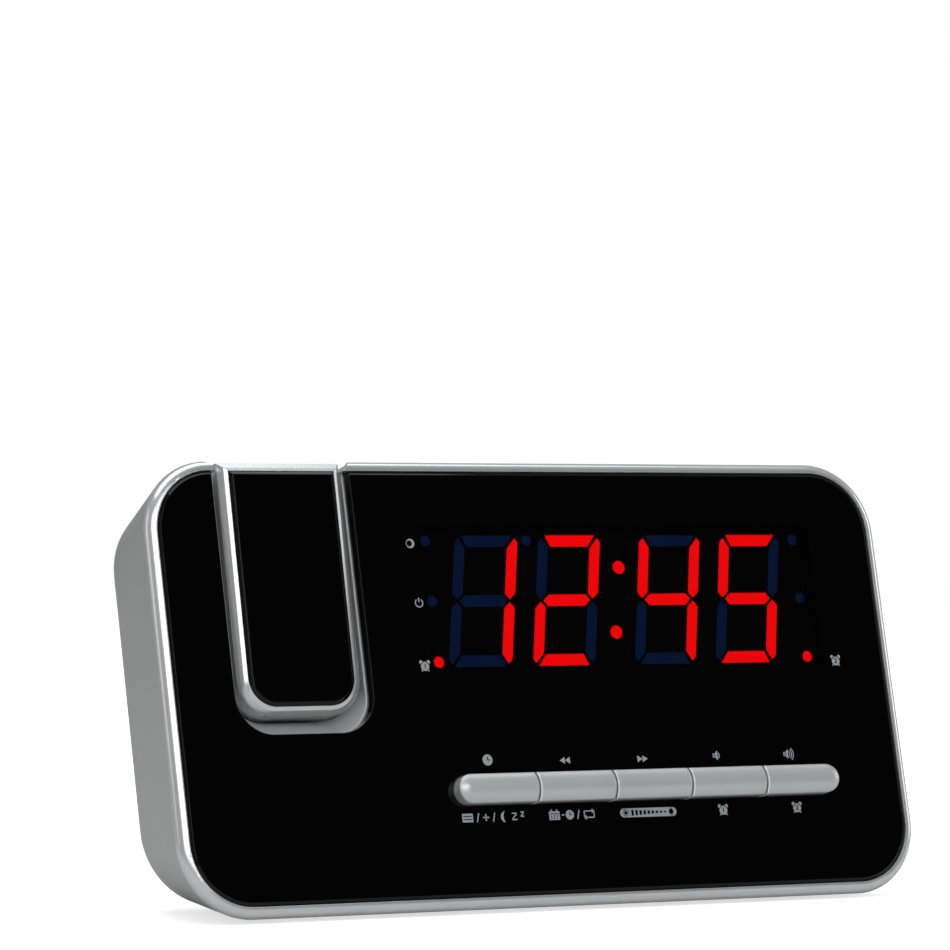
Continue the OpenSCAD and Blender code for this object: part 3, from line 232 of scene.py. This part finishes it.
# The window is a little less tall than the film and reaches past its left end
window_low = (film_low.x - 0.7*mm, film_low.y + 0.4*mm)
window_high = (film_high.x - 0.5*mm, film_high.y - 0.4*mm)
window_alpha = 0.5
half_way = min(face_out.dot(vertex.co - face_middle) for vertex in panel_mesh.vertices)/2


def dress(material, *names):
    """Gives CAD nodes a material in place of their plain colour."""
    for name in names:
        nodes[name].data.materials.clear()
        nodes[name].data.materials.append(material)


def face_coordinates(tree):
    """Object coordinates turned into the face's own frame."""
    place = add_node(tree, "TexCoord").outputs["Object"]
    turned = add_node(tree, "Mapping", {"Vector": place, "Location": face_middle,
                                        "Rotation": face_matrix.to_euler()}, vector_type="TEXTURE")
    return turned.outputs[0]


def polished_acrylic(name, tint, edge_radius):
    """Polished black acrylic: a deep mirror whose gloss wanders with the faint wipes of handling."""
    material, tree, shader = new_finish(name)
    place = add_node(tree, "TexCoord").outputs["Object"]
    wipe = add_node(tree, "TexNoise", {"Vector": place, "Scale": 1/(22*mm), "Detail": 3.0,
                                       "Distortion": 0.8})
    rough = add_node(tree, "MapRange", {0: wipe.outputs[0], 1: 0.35, 2: 0.7, 3: 0.02, 4: 0.05})
    tree.links.new(rough.outputs[0], shader.inputs["Roughness"])
    set_sockets(shader, Base_Color=linear(tint), IOR=1.49, Specular_IOR_Level=0.25)
    edge = add_node(tree, "Bevel", {"Radius": edge_radius}, samples=4)
    tree.links.new(edge.outputs[0], shader.inputs["Normal"])
    return material, tree, shader


acrylic, tree, shader = polished_acrylic("black backed acrylic", "#050405", 0.15*mm)
local = add_node(tree, "SeparateXYZ", {0: face_coordinates(tree)})
inside = None
for axis in (0, 1):
    middle, half = (window_low[axis] + window_high[axis])/2, (window_high[axis] - window_low[axis])/2
    off = add_node(tree, "Math", {0: local.outputs[axis], 1: middle}, operation="SUBTRACT")
    far = add_node(tree, "Math", {0: off.outputs[0]}, operation="ABSOLUTE")
    within = add_node(tree, "Math", {0: far.outputs[0], 1: half}, operation="LESS_THAN")
    inside = within.outputs[0] if inside is None else add_node(
        tree, "Math", {0: inside, 1: within.outputs[0]}, operation="MULTIPLY").outputs[0]
# In the window the front face is smoked and the back face is clear
is_front = add_node(tree, "Math", {0: local.outputs[2], 1: half_way}, operation="GREATER_THAN")
smoke = add_node(tree, "Math", {0: is_front.outputs[0], 1: window_alpha}, operation="MULTIPLY")
alpha = add_node(tree, "Mix", {0: inside, 2: 1.0, 3: smoke.outputs[0]}, data_type="FLOAT")
tree.links.new(alpha.outputs[0], shader.inputs["Alpha"])
dress(acrylic, "front_panel")

# ---------------------------------------------------------------------------
# Bezel
# A rounded ABS frame that sits round the panel in the housing's front, sprayed
# bright silver: fine flake and a faint orange peel. It parts above the arm.
# ---------------------------------------------------------------------------
flake_size = 0.35*mm  # real flake is 0.05 mm; drawn coarser so that it shows
peel_size = 1.6*mm


def silver_spray(name, colour, metallic, roughness, flake, edge_radius):
    """Silver paint on moulded ABS: its flake and peel soften and widen the highlights."""
    material, tree, shader = new_finish(name)
    place = add_node(tree, "TexCoord").outputs["Object"]
    grain = add_node(tree, "TexNoise", {"Vector": place, "Scale": 1/flake_size, "Detail": 1.0})
    cloud = add_node(tree, "TexNoise", {"Vector": place, "Scale": 1/(18*mm), "Detail": 2.0})
    shade = add_node(tree, "MapRange", {0: grain.outputs[0], 1: 0.3, 2: 0.7, 3: 1 - flake, 4: 1 + flake})
    drift = add_node(tree, "MapRange", {0: cloud.outputs[0], 1: 0.3, 2: 0.7, 3: 0.98, 4: 1.02})
    tone = add_node(tree, "Math", {0: shade.outputs[0], 1: drift.outputs[0]}, operation="MULTIPLY")
    base = add_node(tree, "Mix", {0: 1.0, 6: linear(colour), 7: tone.outputs[0]},
                    data_type="RGBA", blend_type="MULTIPLY")
    tree.links.new(base.outputs[2], shader.inputs["Base Color"])
    rough = add_node(tree, "MapRange", {0: grain.outputs[0], 3: roughness - 0.02, 4: roughness + 0.02})
    tree.links.new(rough.outputs[0], shader.inputs["Roughness"])
    set_sockets(shader, Metallic=metallic)
    edge = add_node(tree, "Bevel", {"Radius": edge_radius}, samples=4)
    peel = add_node(tree, "TexNoise", {"Vector": place, "Scale": 1/peel_size, "Detail": 0.0})
    bump = add_node(tree, "Bump", {"Strength": 0.15, "Distance": 0.02*mm, "Height": peel.outputs[0],
                                   "Normal": edge.outputs[0]})
    tree.links.new(bump.outputs[0], shader.inputs["Normal"])
    return material


bright_silver = silver_spray("bright silver spray on ABS", "#CDCECF", 0.6, 0.2, 0.008, 0.2*mm)
dress(bright_silver, "front_bezel")

# ---------------------------------------------------------------------------
# Rear housing and battery door
# One deep ABS shell that tapers to the back, and a sliding door in its floor.
# Both are sprayed a darker satin silver, whose highlights spread wide.
# ---------------------------------------------------------------------------
satin_silver = silver_spray("satin silver spray on ABS", "#AEAFB0", 0.4, 0.42, 0.012, 0.25*mm)
dress(satin_silver, "rear_housing", "battery_door")

# ---------------------------------------------------------------------------
# Projector arm
# A tall ABS shell, rounded below, with a black acrylic inlay on its front and a
# back cover held by two screws. It hangs from two steel pins in a glossy cradle.
# ---------------------------------------------------------------------------
arm_silver = silver_spray("silver spray on the arm", "#CDCECF", 0.65, 0.2, 0.006, 0.12*mm)
dress(arm_silver, "arm_frame")
inlay_acrylic, tree, shader = polished_acrylic("black acrylic inlay", "#040404", 0.4*mm)
dress(inlay_acrylic, "arm_insert")
cover_silver = silver_spray("satin silver cover", "#A2A4A7", 0.3, 0.45, 0.06, 0.15*mm)
dress(cover_silver, "arm_back_cover")
cradle_lacquer = silver_spray("glossy silver lacquer", "#CDCFD0", 0.4, 0.22, 0.01, 0.25*mm)
dress(cradle_lacquer, "arm_cradle")


tool_mark = 0.565*mm  # real marks are 0.1 mm apart; drawn coarser so that they show
waves_apart = 2*math.pi/20  # what a wave texture at scale 1 takes for one band


def turned_steel(name, colour, roughness):
    """Turned or drawn metal: tool marks break its shine into fine bands, and handling stains it."""
    material, tree, shader = new_finish(name)
    place = add_node(tree, "TexCoord").outputs["Object"]
    marks = add_node(tree, "TexWave", {"Vector": place, "Scale": waves_apart/tool_mark,
                                       "Distortion": 3.0, "Detail": 1.0})
    rough = add_node(tree, "MapRange", {0: marks.outputs[1], 3: roughness - 0.08, 4: roughness + 0.08})
    tree.links.new(rough.outputs[0], shader.inputs["Roughness"])
    stain = add_node(tree, "TexNoise", {"Vector": place, "Scale": 1/(2.5*mm), "Detail": 3.0})
    tone = add_node(tree, "MapRange", {0: stain.outputs[0], 3: 0.85, 4: 1.1})
    base = add_node(tree, "Mix", {0: 1.0, 6: linear(colour), 7: tone.outputs[0]},
                    data_type="RGBA", blend_type="MULTIPLY")
    tree.links.new(base.outputs[2], shader.inputs["Base Color"])
    set_sockets(shader, Metallic=1.0)
    edge = add_node(tree, "Bevel", {"Radius": 0.15*mm}, samples=4)
    tree.links.new(edge.outputs[0], shader.inputs["Normal"])
    return material


pin_steel = turned_steel("ground steel", "#C2C2C0", 0.22)
dress(pin_steel, "hinge_pins")
zinc = turned_steel("zinc plated steel", "#B9B8B0", 0.32)
dress(zinc, "arm_screws", "housing_screws", "board_screws", "speaker_screws")


def moulded_plastic(name, colour, roughness, grain_depth=0.01*mm, shine=0.5):
    """Moulded plastic with a fine spark-eroded grain, about 0.3 mm from peak to peak."""
    material, tree, shader = new_finish(name)
    place = add_node(tree, "TexCoord").outputs["Object"]
    grain = add_node(tree, "TexNoise", {"Vector": place, "Scale": 1/(0.3*mm), "Detail": 2.0})
    flow = add_node(tree, "TexNoise", {"Vector": place, "Scale": 1/(9*mm), "Detail": 2.0})
    tone = add_node(tree, "MapRange", {0: flow.outputs[0], 3: 0.88, 4: 1.1})
    base = add_node(tree, "Mix", {0: 1.0, 6: linear(colour), 7: tone.outputs[0]},
                    data_type="RGBA", blend_type="MULTIPLY")
    tree.links.new(base.outputs[2], shader.inputs["Base Color"])
    rough = add_node(tree, "MapRange", {0: grain.outputs[0], 3: roughness - 0.08, 4: roughness + 0.08})
    tree.links.new(rough.outputs[0], shader.inputs["Roughness"])
    set_sockets(shader, Specular_IOR_Level=shine)
    edge = add_node(tree, "Bevel", {"Radius": 0.15*mm}, samples=4)
    bump = add_node(tree, "Bump", {"Strength": 0.4, "Distance": grain_depth, "Height": grain.outputs[0],
                                   "Normal": edge.outputs[0]})
    tree.links.new(bump.outputs[0], shader.inputs["Normal"])
    return material


acetal = moulded_plastic("natural acetal", "#D8D6CC", 0.38)
dress(acetal, "friction_washers")

# ---------------------------------------------------------------------------
# Projector optics
# A red lamp shines up a black tunnel through a condenser and a small display
# slide; a knurled ring on top carries the lens and turns to focus it.
# ---------------------------------------------------------------------------
black_abs = moulded_plastic("moulded black ABS", "#161617", 0.5)
dress(black_abs, "focus_ring", "light_tunnel")
# Coated glass: clear with a violet sheen, a little dulled where dust lies
coated_glass, tree, shader = new_finish("coated optical glass")
place = add_node(tree, "TexCoord").outputs["Object"]
dust = add_node(tree, "TexNoise", {"Vector": place, "Scale": 1/(1.2*mm), "Detail": 4.0})
clean = add_node(tree, "MapRange", {0: dust.outputs[0], 1: 0.45, 2: 0.75, 3: 0.01, 4: 0.05})
tree.links.new(clean.outputs[0], shader.inputs["Roughness"])
set_sockets(shader, Base_Color=linear("#EEF3F7"), IOR=1.52, Transmission_Weight=1.0, Coat_Weight=0.5,
            Coat_Tint=linear("#C8B8F0"))
dress(coated_glass, "projection_lens", "condenser_lens")
# Polished glass over dark cells, with a cloudy grey in its depth
slide_glass, tree, shader = new_finish("liquid crystal slide")
place = add_node(tree, "TexCoord").outputs["Object"]
cells = add_node(tree, "TexNoise", {"Vector": place, "Scale": 1/(0.8*mm)})
tint = add_node(tree, "Mix", {0: cells.outputs[0], 6: linear("#20262B"), 7: linear("#39424A")},
                data_type="RGBA")
tree.links.new(tint.outputs[2], shader.inputs["Base Color"])
set_sockets(shader, Roughness=0.08)
dress(slide_glass, "time_slide")
# Cast epoxy, glossy and cloudy red, glowing from inside
red_epoxy, tree, shader = new_finish("red lamp epoxy")
place = add_node(tree, "TexCoord").outputs["Object"]
core = add_node(tree, "TexNoise", {"Vector": place, "Scale": 1/(2*mm)})
tint = add_node(tree, "Mix", {0: core.outputs[0], 6: linear("#8E0A0A"), 7: linear("#D81818")},
                data_type="RGBA")
tree.links.new(tint.outputs[2], shader.inputs["Base Color"])
set_sockets(shader, Roughness=0.12, Emission_Color=linear("#FF1010"), Emission_Strength=1.5)
dress(red_epoxy, "projector_led")

# ---------------------------------------------------------------------------
# Display
# Translucent diffusers fill the segments of a black reflector block under a
# smoked film, all on the black chassis. Lit ones glow red; the rest glow a faint
# dark navy, a painted glow, since no lamp lights them.
# ---------------------------------------------------------------------------
def diffuser(name, colour, glow_colour, glow):
    """Cast milky resin: an even glow with clouds about half a millimetre wide."""
    material, tree, shader = new_finish(name)
    place = add_node(tree, "TexCoord").outputs["Object"]
    cloud = add_node(tree, "TexNoise", {"Vector": place, "Scale": 1/(0.6*mm), "Detail": 2.0})
    tone = add_node(tree, "MapRange", {0: cloud.outputs[0], 3: 0.85, 4: 1.15})
    base = add_node(tree, "Mix", {0: 1.0, 6: linear(colour), 7: tone.outputs[0]},
                    data_type="RGBA", blend_type="MULTIPLY")
    tree.links.new(base.outputs[2], shader.inputs["Base Color"])
    set_sockets(shader, Roughness=0.6, Specular_IOR_Level=0.05, Emission_Color=linear(glow_colour),
                Emission_Strength=glow)
    return material


lit_red = diffuser("lit red diffuser", "#200000", "#FF0407", 2.0)
dress(lit_red, "lit_segments")
# The unlit segments get a painted glow: a faint dark navy light, though no lamp is behind them
painted_navy_glow = diffuser("unlit diffuser", "#02050A", "#041431", 2.0)
dress(painted_navy_glow, "unlit_segments")
reflector_black = moulded_plastic("matt black reflector", "#060506", 0.8, shine=0.05)
dress(reflector_black, "display_reflector")
dress(black_abs, "front_chassis")
# Smoked polyester film: it darkens what lies under it, with a faint haze and no mirror
smoked_film, tree, shader = new_finish("smoked film")
place = add_node(tree, "TexCoord").outputs["Object"]
haze = add_node(tree, "TexNoise", {"Vector": place, "Scale": 1/(4*mm), "Detail": 2.0})
rough = add_node(tree, "MapRange", {0: haze.outputs[0], 3: 0.2, 4: 0.35})
tree.links.new(rough.outputs[0], shader.inputs["Roughness"])
set_sockets(shader, Base_Color=linear("#050306"), Alpha=0.1, Specular_IOR_Level=0.05)
# The film lies a hair clear of the panel and the diffusers, with rounded corners
film_gap = 0.02*mm
film_corner = 1.5*mm
bpy.ops.mesh.primitive_plane_add(size=1)
film = bpy.context.object
film.name = "smoked_film"
film.data.name = film.name
film.scale = (film_high.x - film_low.x, film_high.y - film_low.y, 1)
film.location = ((film_low.x + film_high.x)/2, (film_low.y + film_high.y)/2, film_high.z - film_gap)
bpy.ops.object.transform_apply(location=True, rotation=True, scale=True)
bpy.ops.object.mode_set(mode="EDIT")
bpy.ops.mesh.select_all(action="SELECT")
bpy.ops.mesh.bevel(offset=film_corner, segments=6, affect="VERTICES")
bpy.ops.object.mode_set(mode="OBJECT")
thick = film.modifiers.new("thickness", "SOLIDIFY")
thick.thickness, thick.offset = film_high.z - film_low.z - 2*film_gap, -1
bpy.ops.object.modifier_apply(modifier=thick.name)
film.data.transform(face_matrix)
film.data.materials.append(smoked_film)
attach(film, "clock")
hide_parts("display_film")
bpy.ops.object.select_all(action="DESELECT")

# ---------------------------------------------------------------------------
# Front buttons
# Five crowned ABS caps cut from one long pill, sprayed pearl silver. Their sides
# fall away into the panel's slot; hidden stems press the switches behind.
# ---------------------------------------------------------------------------
front_buttons = ["clock_button", "back_button", "forward_button", "volume_down_button", "volume_up_button"]
pearl_silver = silver_spray("pearl silver spray", "#BEBFC0", 0.4, 0.34, 0.008, 0.7*mm)
# A painted highlight: the edges that look left and a little up glow white in a thin rim, standing in for
# light caught on their rounding
rim_width = 0.8*mm
painted_rim_highlight = 0.35
highlight_side = (-0.9, -0.3, 0.3)
tree, shader = pearl_silver.node_tree, pearl_silver.node_tree.nodes["Principled BSDF"]
rounded = add_node(tree, "Bevel", {"Radius": rim_width}, samples=8)
flat = add_node(tree, "NewGeometry")
turned = add_node(tree, "VectorMath", {0: rounded.outputs[0], 1: flat.outputs["True Normal"]},
                  operation="SUBTRACT")
leftward = add_node(tree, "VectorMath", {0: turned.outputs[0], 1: highlight_side}, operation="DOT_PRODUCT")
# The glow on those edges is a painted highlight, not light from any lamp
painted_highlight = add_node(tree, "MapRange", {0: leftward.outputs["Value"], 1: 0.08, 2: 0.35, 3: 0.0, 4: painted_rim_highlight})
tree.links.new(painted_highlight.outputs[0], shader.inputs["Emission Strength"])
set_sockets(shader, Emission_Color=linear("#FFFFFF"))
dress(pearl_silver, *front_buttons)

# ---------------------------------------------------------------------------
# Printed symbols
# Pad-printed grey ink on the panel, a few hundredths of a millimetre thick: plain
# pictures over and under the buttons, and those beside the display's dots.
# ---------------------------------------------------------------------------
ink_t = 0.03*mm
ink_lift = 0.01*mm


def ink(name, colour):
    """Pad-printing ink: matt, and a little uneven in tone over 0.4 mm, as the pad leaves it."""
    material, tree, shader = new_finish(name)
    place = add_node(tree, "TexCoord").outputs["Object"]
    screen = add_node(tree, "TexNoise", {"Vector": place, "Scale": 1/(0.4*mm), "Detail": 1.0})
    tone = add_node(tree, "MapRange", {0: screen.outputs[0], 3: 0.9, 4: 1.08})
    base = add_node(tree, "Mix", {0: 1.0, 6: linear(colour), 7: tone.outputs[0]},
                    data_type="RGBA", blend_type="MULTIPLY")
    tree.links.new(base.outputs[2], shader.inputs["Base Color"])
    set_sockets(shader, Roughness=0.7, Specular_IOR_Level=0.03)
    return material


grey_ink = ink("grey pad-print ink", "#949A9D")
black_ink = ink("black pad-print ink", "#050505")


def disc(radius, x=0.0, y=0.0, sides=40, turn=0.0):
    """A flat disc or regular shape, in millimetres on the face."""
    bpy.ops.mesh.primitive_circle_add(vertices=sides, radius=radius*mm, fill_type="NGON",
                                      location=(x*mm, y*mm, 0), rotation=(0, 0, math.radians(turn)))
    return bpy.context.object


def bar(width, height, x=0.0, y=0.0, turn=0.0):
    """A flat bar, in millimetres on the face."""
    bpy.ops.mesh.primitive_plane_add(size=1, location=(x*mm, y*mm, 0), rotation=(0, 0, math.radians(turn)))
    piece = bpy.context.object
    piece.scale = (width*mm, height*mm, 1)
    bpy.ops.object.transform_apply(location=True, rotation=True, scale=True)
    return piece


def triangle(width, height, x=0.0, y=0.0, turn=0.0):
    """A flat triangle that points to the right before it is turned."""
    bpy.ops.mesh.primitive_circle_add(vertices=3, radius=1, fill_type="NGON")
    piece = bpy.context.object
    piece.rotation_euler.z = math.radians(-90)
    bpy.ops.object.transform_apply(location=False, rotation=True, scale=False)
    tips = [vertex.co.copy() for vertex in piece.data.vertices]
    tall = max(tip.y for tip in tips) - min(tip.y for tip in tips)
    wide = max(tip.x for tip in tips) - min(tip.x for tip in tips)
    piece.scale = (width*mm/wide, height*mm/tall, 1)
    piece.rotation_euler.z = math.radians(turn)
    piece.location = (x*mm, y*mm, 0)
    bpy.ops.object.transform_apply(location=True, rotation=True, scale=True)
    return piece


def arc(radius, width, start, sweep, x=0.0, y=0.0):
    """A flat arc, spun from one short edge about its middle."""
    bpy.ops.mesh.primitive_plane_add(size=width*mm, location=(0, 0, 0))
    piece = bpy.context.object
    bpy.ops.object.mode_set(mode="EDIT")
    bpy.ops.mesh.select_all(action="DESELECT")
    bpy.ops.object.mode_set(mode="OBJECT")
    for vertex in piece.data.vertices:
        vertex.select = vertex.co.y < 0
    bpy.ops.object.mode_set(mode="EDIT")
    bpy.ops.mesh.delete(type="VERT")
    bpy.ops.mesh.select_all(action="SELECT")
    bpy.ops.transform.translate(value=(radius*mm, -width*mm/2, 0))
    # The spin runs clockwise, so the arc is turned to its far end afterwards
    bpy.ops.mesh.spin(steps=max(6, round(sweep/10)), angle=math.radians(sweep), center=(0, 0, 0),
                      axis=(0, 0, 1))
    bpy.ops.object.mode_set(mode="OBJECT")
    piece.rotation_euler.z = math.radians(start + sweep)
    piece.location = (x*mm, y*mm, 0)
    bpy.ops.object.transform_apply(location=True, rotation=True, scale=True)
    return piece


number_share = 0.7  # height of a number in its type size
number_bold = 0.045*mm


def digit(text, height, x=0.0, y=0.0):
    """A plain number, in millimetres on the face."""
    bpy.ops.object.text_add()
    words = bpy.context.object
    words.data.body = text
    words.data.align_x, words.data.align_y = "CENTER", "CENTER"
    words.data.size = height*mm/number_share
    words.data.offset = number_bold
    bpy.ops.object.convert(target="MESH")
    words = bpy.context.object
    words.location = (x*mm, y*mm, 0)
    bpy.ops.object.transform_apply(location=True, rotation=True, scale=True)
    return words


def crescent(radius, x=0.0, y=0.0, hollow=0.45):
    """A flat crescent moon: a disc whose right side is folded over, to a share of its width."""
    moon = disc(radius)
    for vertex in moon.data.vertices:
        if vertex.co.x > 0:
            vertex.co.x *= -hollow
    moon.location = (x*mm, y*mm, 0)
    bpy.ops.object.transform_apply(location=True, rotation=True, scale=True)
    return moon


def layer(parts, lift, material):
    """Joins flat parts into one thin coat of ink at a height over the face."""
    bpy.ops.object.select_all(action="DESELECT")
    for part in parts:
        part.select_set(True)
        part.data.materials.clear()
        part.data.materials.append(material)
    bpy.context.view_layer.objects.active = parts[0]
    if len(parts) > 1:
        bpy.ops.object.join()
    coat = bpy.context.object
    bpy.ops.object.transform_apply(location=True, rotation=True, scale=True)
    bpy.ops.object.mode_set(mode="EDIT")
    bpy.ops.mesh.select_all(action="SELECT")
    bpy.ops.mesh.normals_make_consistent(inside=False)
    bpy.ops.object.mode_set(mode="OBJECT")
    if coat.data.polygons[0].normal.z < 0:
        coat.data.flip_normals()
    thick = coat.modifiers.new("coat", "SOLIDIFY")
    thick.thickness, thick.offset = ink_t, 1
    bpy.ops.object.modifier_apply(modifier=thick.name)
    coat.data.transform(Matrix.Translation((0, 0, lift)))
    return coat


def print_symbol(name, place, light, dark=()):
    """Prints a symbol at a place on the panel: grey parts, and black parts over them."""
    coats = [layer(light, ink_lift, grey_ink)]
    if dark:
        coats.append(layer(dark, ink_lift + ink_t, black_ink))
        bpy.ops.object.select_all(action="DESELECT")
        for coat in coats:
            coat.select_set(True)
        bpy.context.view_layer.objects.active = coats[0]
        bpy.ops.object.join()
    symbol = bpy.context.object
    symbol.name = "print_" + name
    symbol.data.name = symbol.name
    on_face = face_matrix.copy()
    on_face.translation = place
    symbol.data.transform(on_face)
    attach(symbol, "clock")
    bpy.ops.object.select_all(action="DESELECT")


def alarm_clock(number):
    """An alarm clock with its bells, feet and a number: the light parts and the dark ones."""
    light = [disc(1.08, 0, -0.1), disc(0.44, -0.95, 0.9), disc(0.44, 0.95, 0.9),
             bar(0.28, 0.6, -0.78, -1.02, -38), bar(0.28, 0.6, 0.78, -1.02, 38)]
    dark = [bar(1.1, 0.2, -0.75, 0.65, 45), bar(1.1, 0.2, 0.75, 0.65, -45), digit(number, 1.1, 0, -0.1)]
    return light, dark


def speaker(rings):
    """A small loudspeaker with its sound waves."""
    shift = 0.4*rings - 0.5
    return [bar(0.7, 1.0, -0.55 - shift, 0), triangle(1.3, 2.3, 0.0 - shift, 0, 180),
            *[arc(0.85 + 0.5*i, 0.22, -48, 96, 0.05 - shift, 0) for i in range(rings)]]


panel = nodes["front_panel"]
first_symbol = seen_place(first_symbol_point, panel)
last_symbol = seen_place(last_symbol_point, panel)
first_label = seen_place(first_label_point, panel)
last_label = seen_place(last_label_point, panel)
symbol_row = [first_symbol.lerp(last_symbol, i/4) for i in range(5)]
label_row = [first_label.lerp(last_label, i/4) for i in range(5)]
print_symbol("clock", symbol_row[0], [disc(1.3)],
             [bar(0.24, 0.85, 0, 0.36), bar(0.7, 0.24, 0.3, 0)])
arrow_drop = 0.45*mm  # the arrows sit a little lower than the other pictures
for name, i, turn in (("back", 1, 180), ("forward", 2, 0)):
    print_symbol(name, symbol_row[i] - face_up*arrow_drop,
                 [triangle(1.35, 1.6, -0.55, 0, turn), triangle(1.35, 1.6, 0.85, 0, turn)])
print_symbol("volume_down", symbol_row[3], speaker(1))
print_symbol("volume_up", symbol_row[4], speaker(3))
# Under the buttons, plain pictures stand where the words are
print_symbol("presets_and_nap", label_row[0],
             [bar(2.8, 2.0, -7.0, 0), bar(0.28, 2.2, -4.3, 0, -16), bar(1.6, 0.3, -2.2, 0),
              bar(0.3, 1.6, -2.2, 0), bar(0.28, 2.2, -0.1, 0, -16), crescent(1.3, 3.0, 0),
              bar(1.3, 0.28, 5.3, 0.75), bar(1.5, 0.28, 5.3, 0.05, 42), bar(1.3, 0.28, 5.3, -0.7),
              bar(0.9, 0.26, 7.4, 1.0), bar(1.1, 0.26, 7.4, 0.5, 42), bar(0.9, 0.26, 7.4, 0.0)],
             [bar(2.2, 0.22, -7.0, 0.35), bar(2.2, 0.22, -7.0, -0.35)])
print_symbol("calendar_and_repeat", label_row[1],
             [bar(2.8, 2.0, -4.7, -0.1), bar(0.3, 0.6, -5.4, 1.05), bar(0.3, 0.6, -4.0, 1.05),
              bar(0.7, 0.28, -2.4, 0), disc(1.1, -0.6, 0), bar(0.28, 2.2, 1.7, 0, -16),
              bar(2.2, 0.26, 4.4, 0.75), bar(2.2, 0.26, 4.8, -0.75), bar(0.26, 1.5, 3.3, -0.1),
              bar(0.26, 1.5, 5.9, 0.1), triangle(0.7, 1.1, 5.6, 0.75), triangle(0.7, 1.1, 3.6, -0.75, 180)],
             [bar(2.3, 0.2, -4.7, 0.35), bar(0.22, 0.8, -0.6, 0.3), bar(0.6, 0.22, -0.35, 0),
              *[bar(0.32, 0.3, -5.5 + 0.8*i, -0.2 - 0.5*j) for i in range(3) for j in range(2)]])
print_symbol("dimmer", label_row[2],
             [bar(13.2, 2.1), disc(1.05, -6.6, 0), disc(1.05, 6.6, 0)],
             [disc(0.42, -6.1, 0), *[bar(0.18, 0.34, -6.1 + 0.72*math.sin(math.radians(a)),
                                         0.72*math.cos(math.radians(a)), -a) for a in range(0, 360, 45)],
              *[bar(0.62, 1.4 - 0.13*i, -4.3 + 1.1*i, 0) for i in range(9)],
              disc(0.6, 6.2, 0)])
for number, spot in (("1", label_row[3]), ("2", label_row[4])):
    print_symbol("alarm_%s_set" % number, spot, *alarm_clock(number))
print_symbol("day_half", seen_place(day_symbol_point, panel), [disc(1.1)],
             [disc(0.7, -0.25, 0)])
print_symbol("power", seen_place(power_symbol_point, panel),
             [arc(0.95, 0.26, 125, 290), bar(0.28, 1.0, 0, 0.75)])
print_symbol("alarm_1", seen_place(left_alarm_point, panel), *alarm_clock("1"))
print_symbol("alarm_2", seen_place(right_alarm_point, panel), *alarm_clock("2"))

# ---------------------------------------------------------------------------
# Top buttons
# A long snooze bar between two round-ended keys, all moulded ABS sprayed satin
# silver. They stand proud of the housing, so a finger finds them in the dark.
# ---------------------------------------------------------------------------
dress(satin_silver, "snooze_bar", "projector_key", "power_key")

# ---------------------------------------------------------------------------
# Back and underside
# Black mouldings for the power inlet and the aerial's gland, rubber feet plugged
# into the floor, a small loudspeaker behind the grille and the backup cells.
# ---------------------------------------------------------------------------
dress(black_abs, "power_jack", "aerial_gland", "speaker_basket")
rubber = moulded_plastic("moulded black rubber", "#101010", 0.85, 0.02*mm)
dress(rubber, "rubber_feet")
pressed_paper = moulded_plastic("pressed paper cone", "#202022", 0.8, 0.04*mm)
dress(pressed_paper, "speaker_cone")
ferrite = moulded_plastic("sintered ferrite", "#2A2A2C", 0.6)
dress(ferrite, "speaker_magnet")
cell_sleeve = moulded_plastic("printed cell sleeve", "#3C6E4C", 0.3)
dress(cell_sleeve, "backup_cells")
nickel = turned_steel("nickel plated spring steel", "#C9C4B4", 0.25)
dress(nickel, "cell_contacts")

# ---------------------------------------------------------------------------
# Circuit boards
# Green solder mask over copper tracks, black chip packages, a tinned tuner can
# and sleeved capacitors, all inside the housing and the arm.
# ---------------------------------------------------------------------------
# Solder mask: glossy green, lighter and shinier over the tracks
solder_mask, tree, shader = new_finish("green solder mask")
place = add_node(tree, "TexCoord").outputs["Object"]
tracks = add_node(tree, "TexBrick", {"Vector": place, "Scale": 1/(5*mm), "Mortar Size": 0.06,
                                     "Color1": linear("#0E4A26"), "Color2": linear("#11552C"),
                                     "Mortar": linear("#2C7A48")})
tree.links.new(tracks.outputs[0], shader.inputs["Base Color"])
gloss = add_node(tree, "MapRange", {0: tracks.outputs[1], 3: 0.32, 4: 0.24})
tree.links.new(gloss.outputs[0], shader.inputs["Roughness"])
dress(solder_mask, "main_board", "button_board", "top_board", "display_board", "arm_board")
chip_epoxy = moulded_plastic("moulded chip epoxy", "#19191B", 0.6)
dress(chip_epoxy, "board_chips", "front_switches", "top_switches")
tin = turned_steel("tinned sheet", "#BDBCB4", 0.3)
dress(tin, "tuner_can")
blue_sleeve = moulded_plastic("blue capacitor sleeve", "#1B2A55", 0.35)
dress(blue_sleeve, "capacitors")
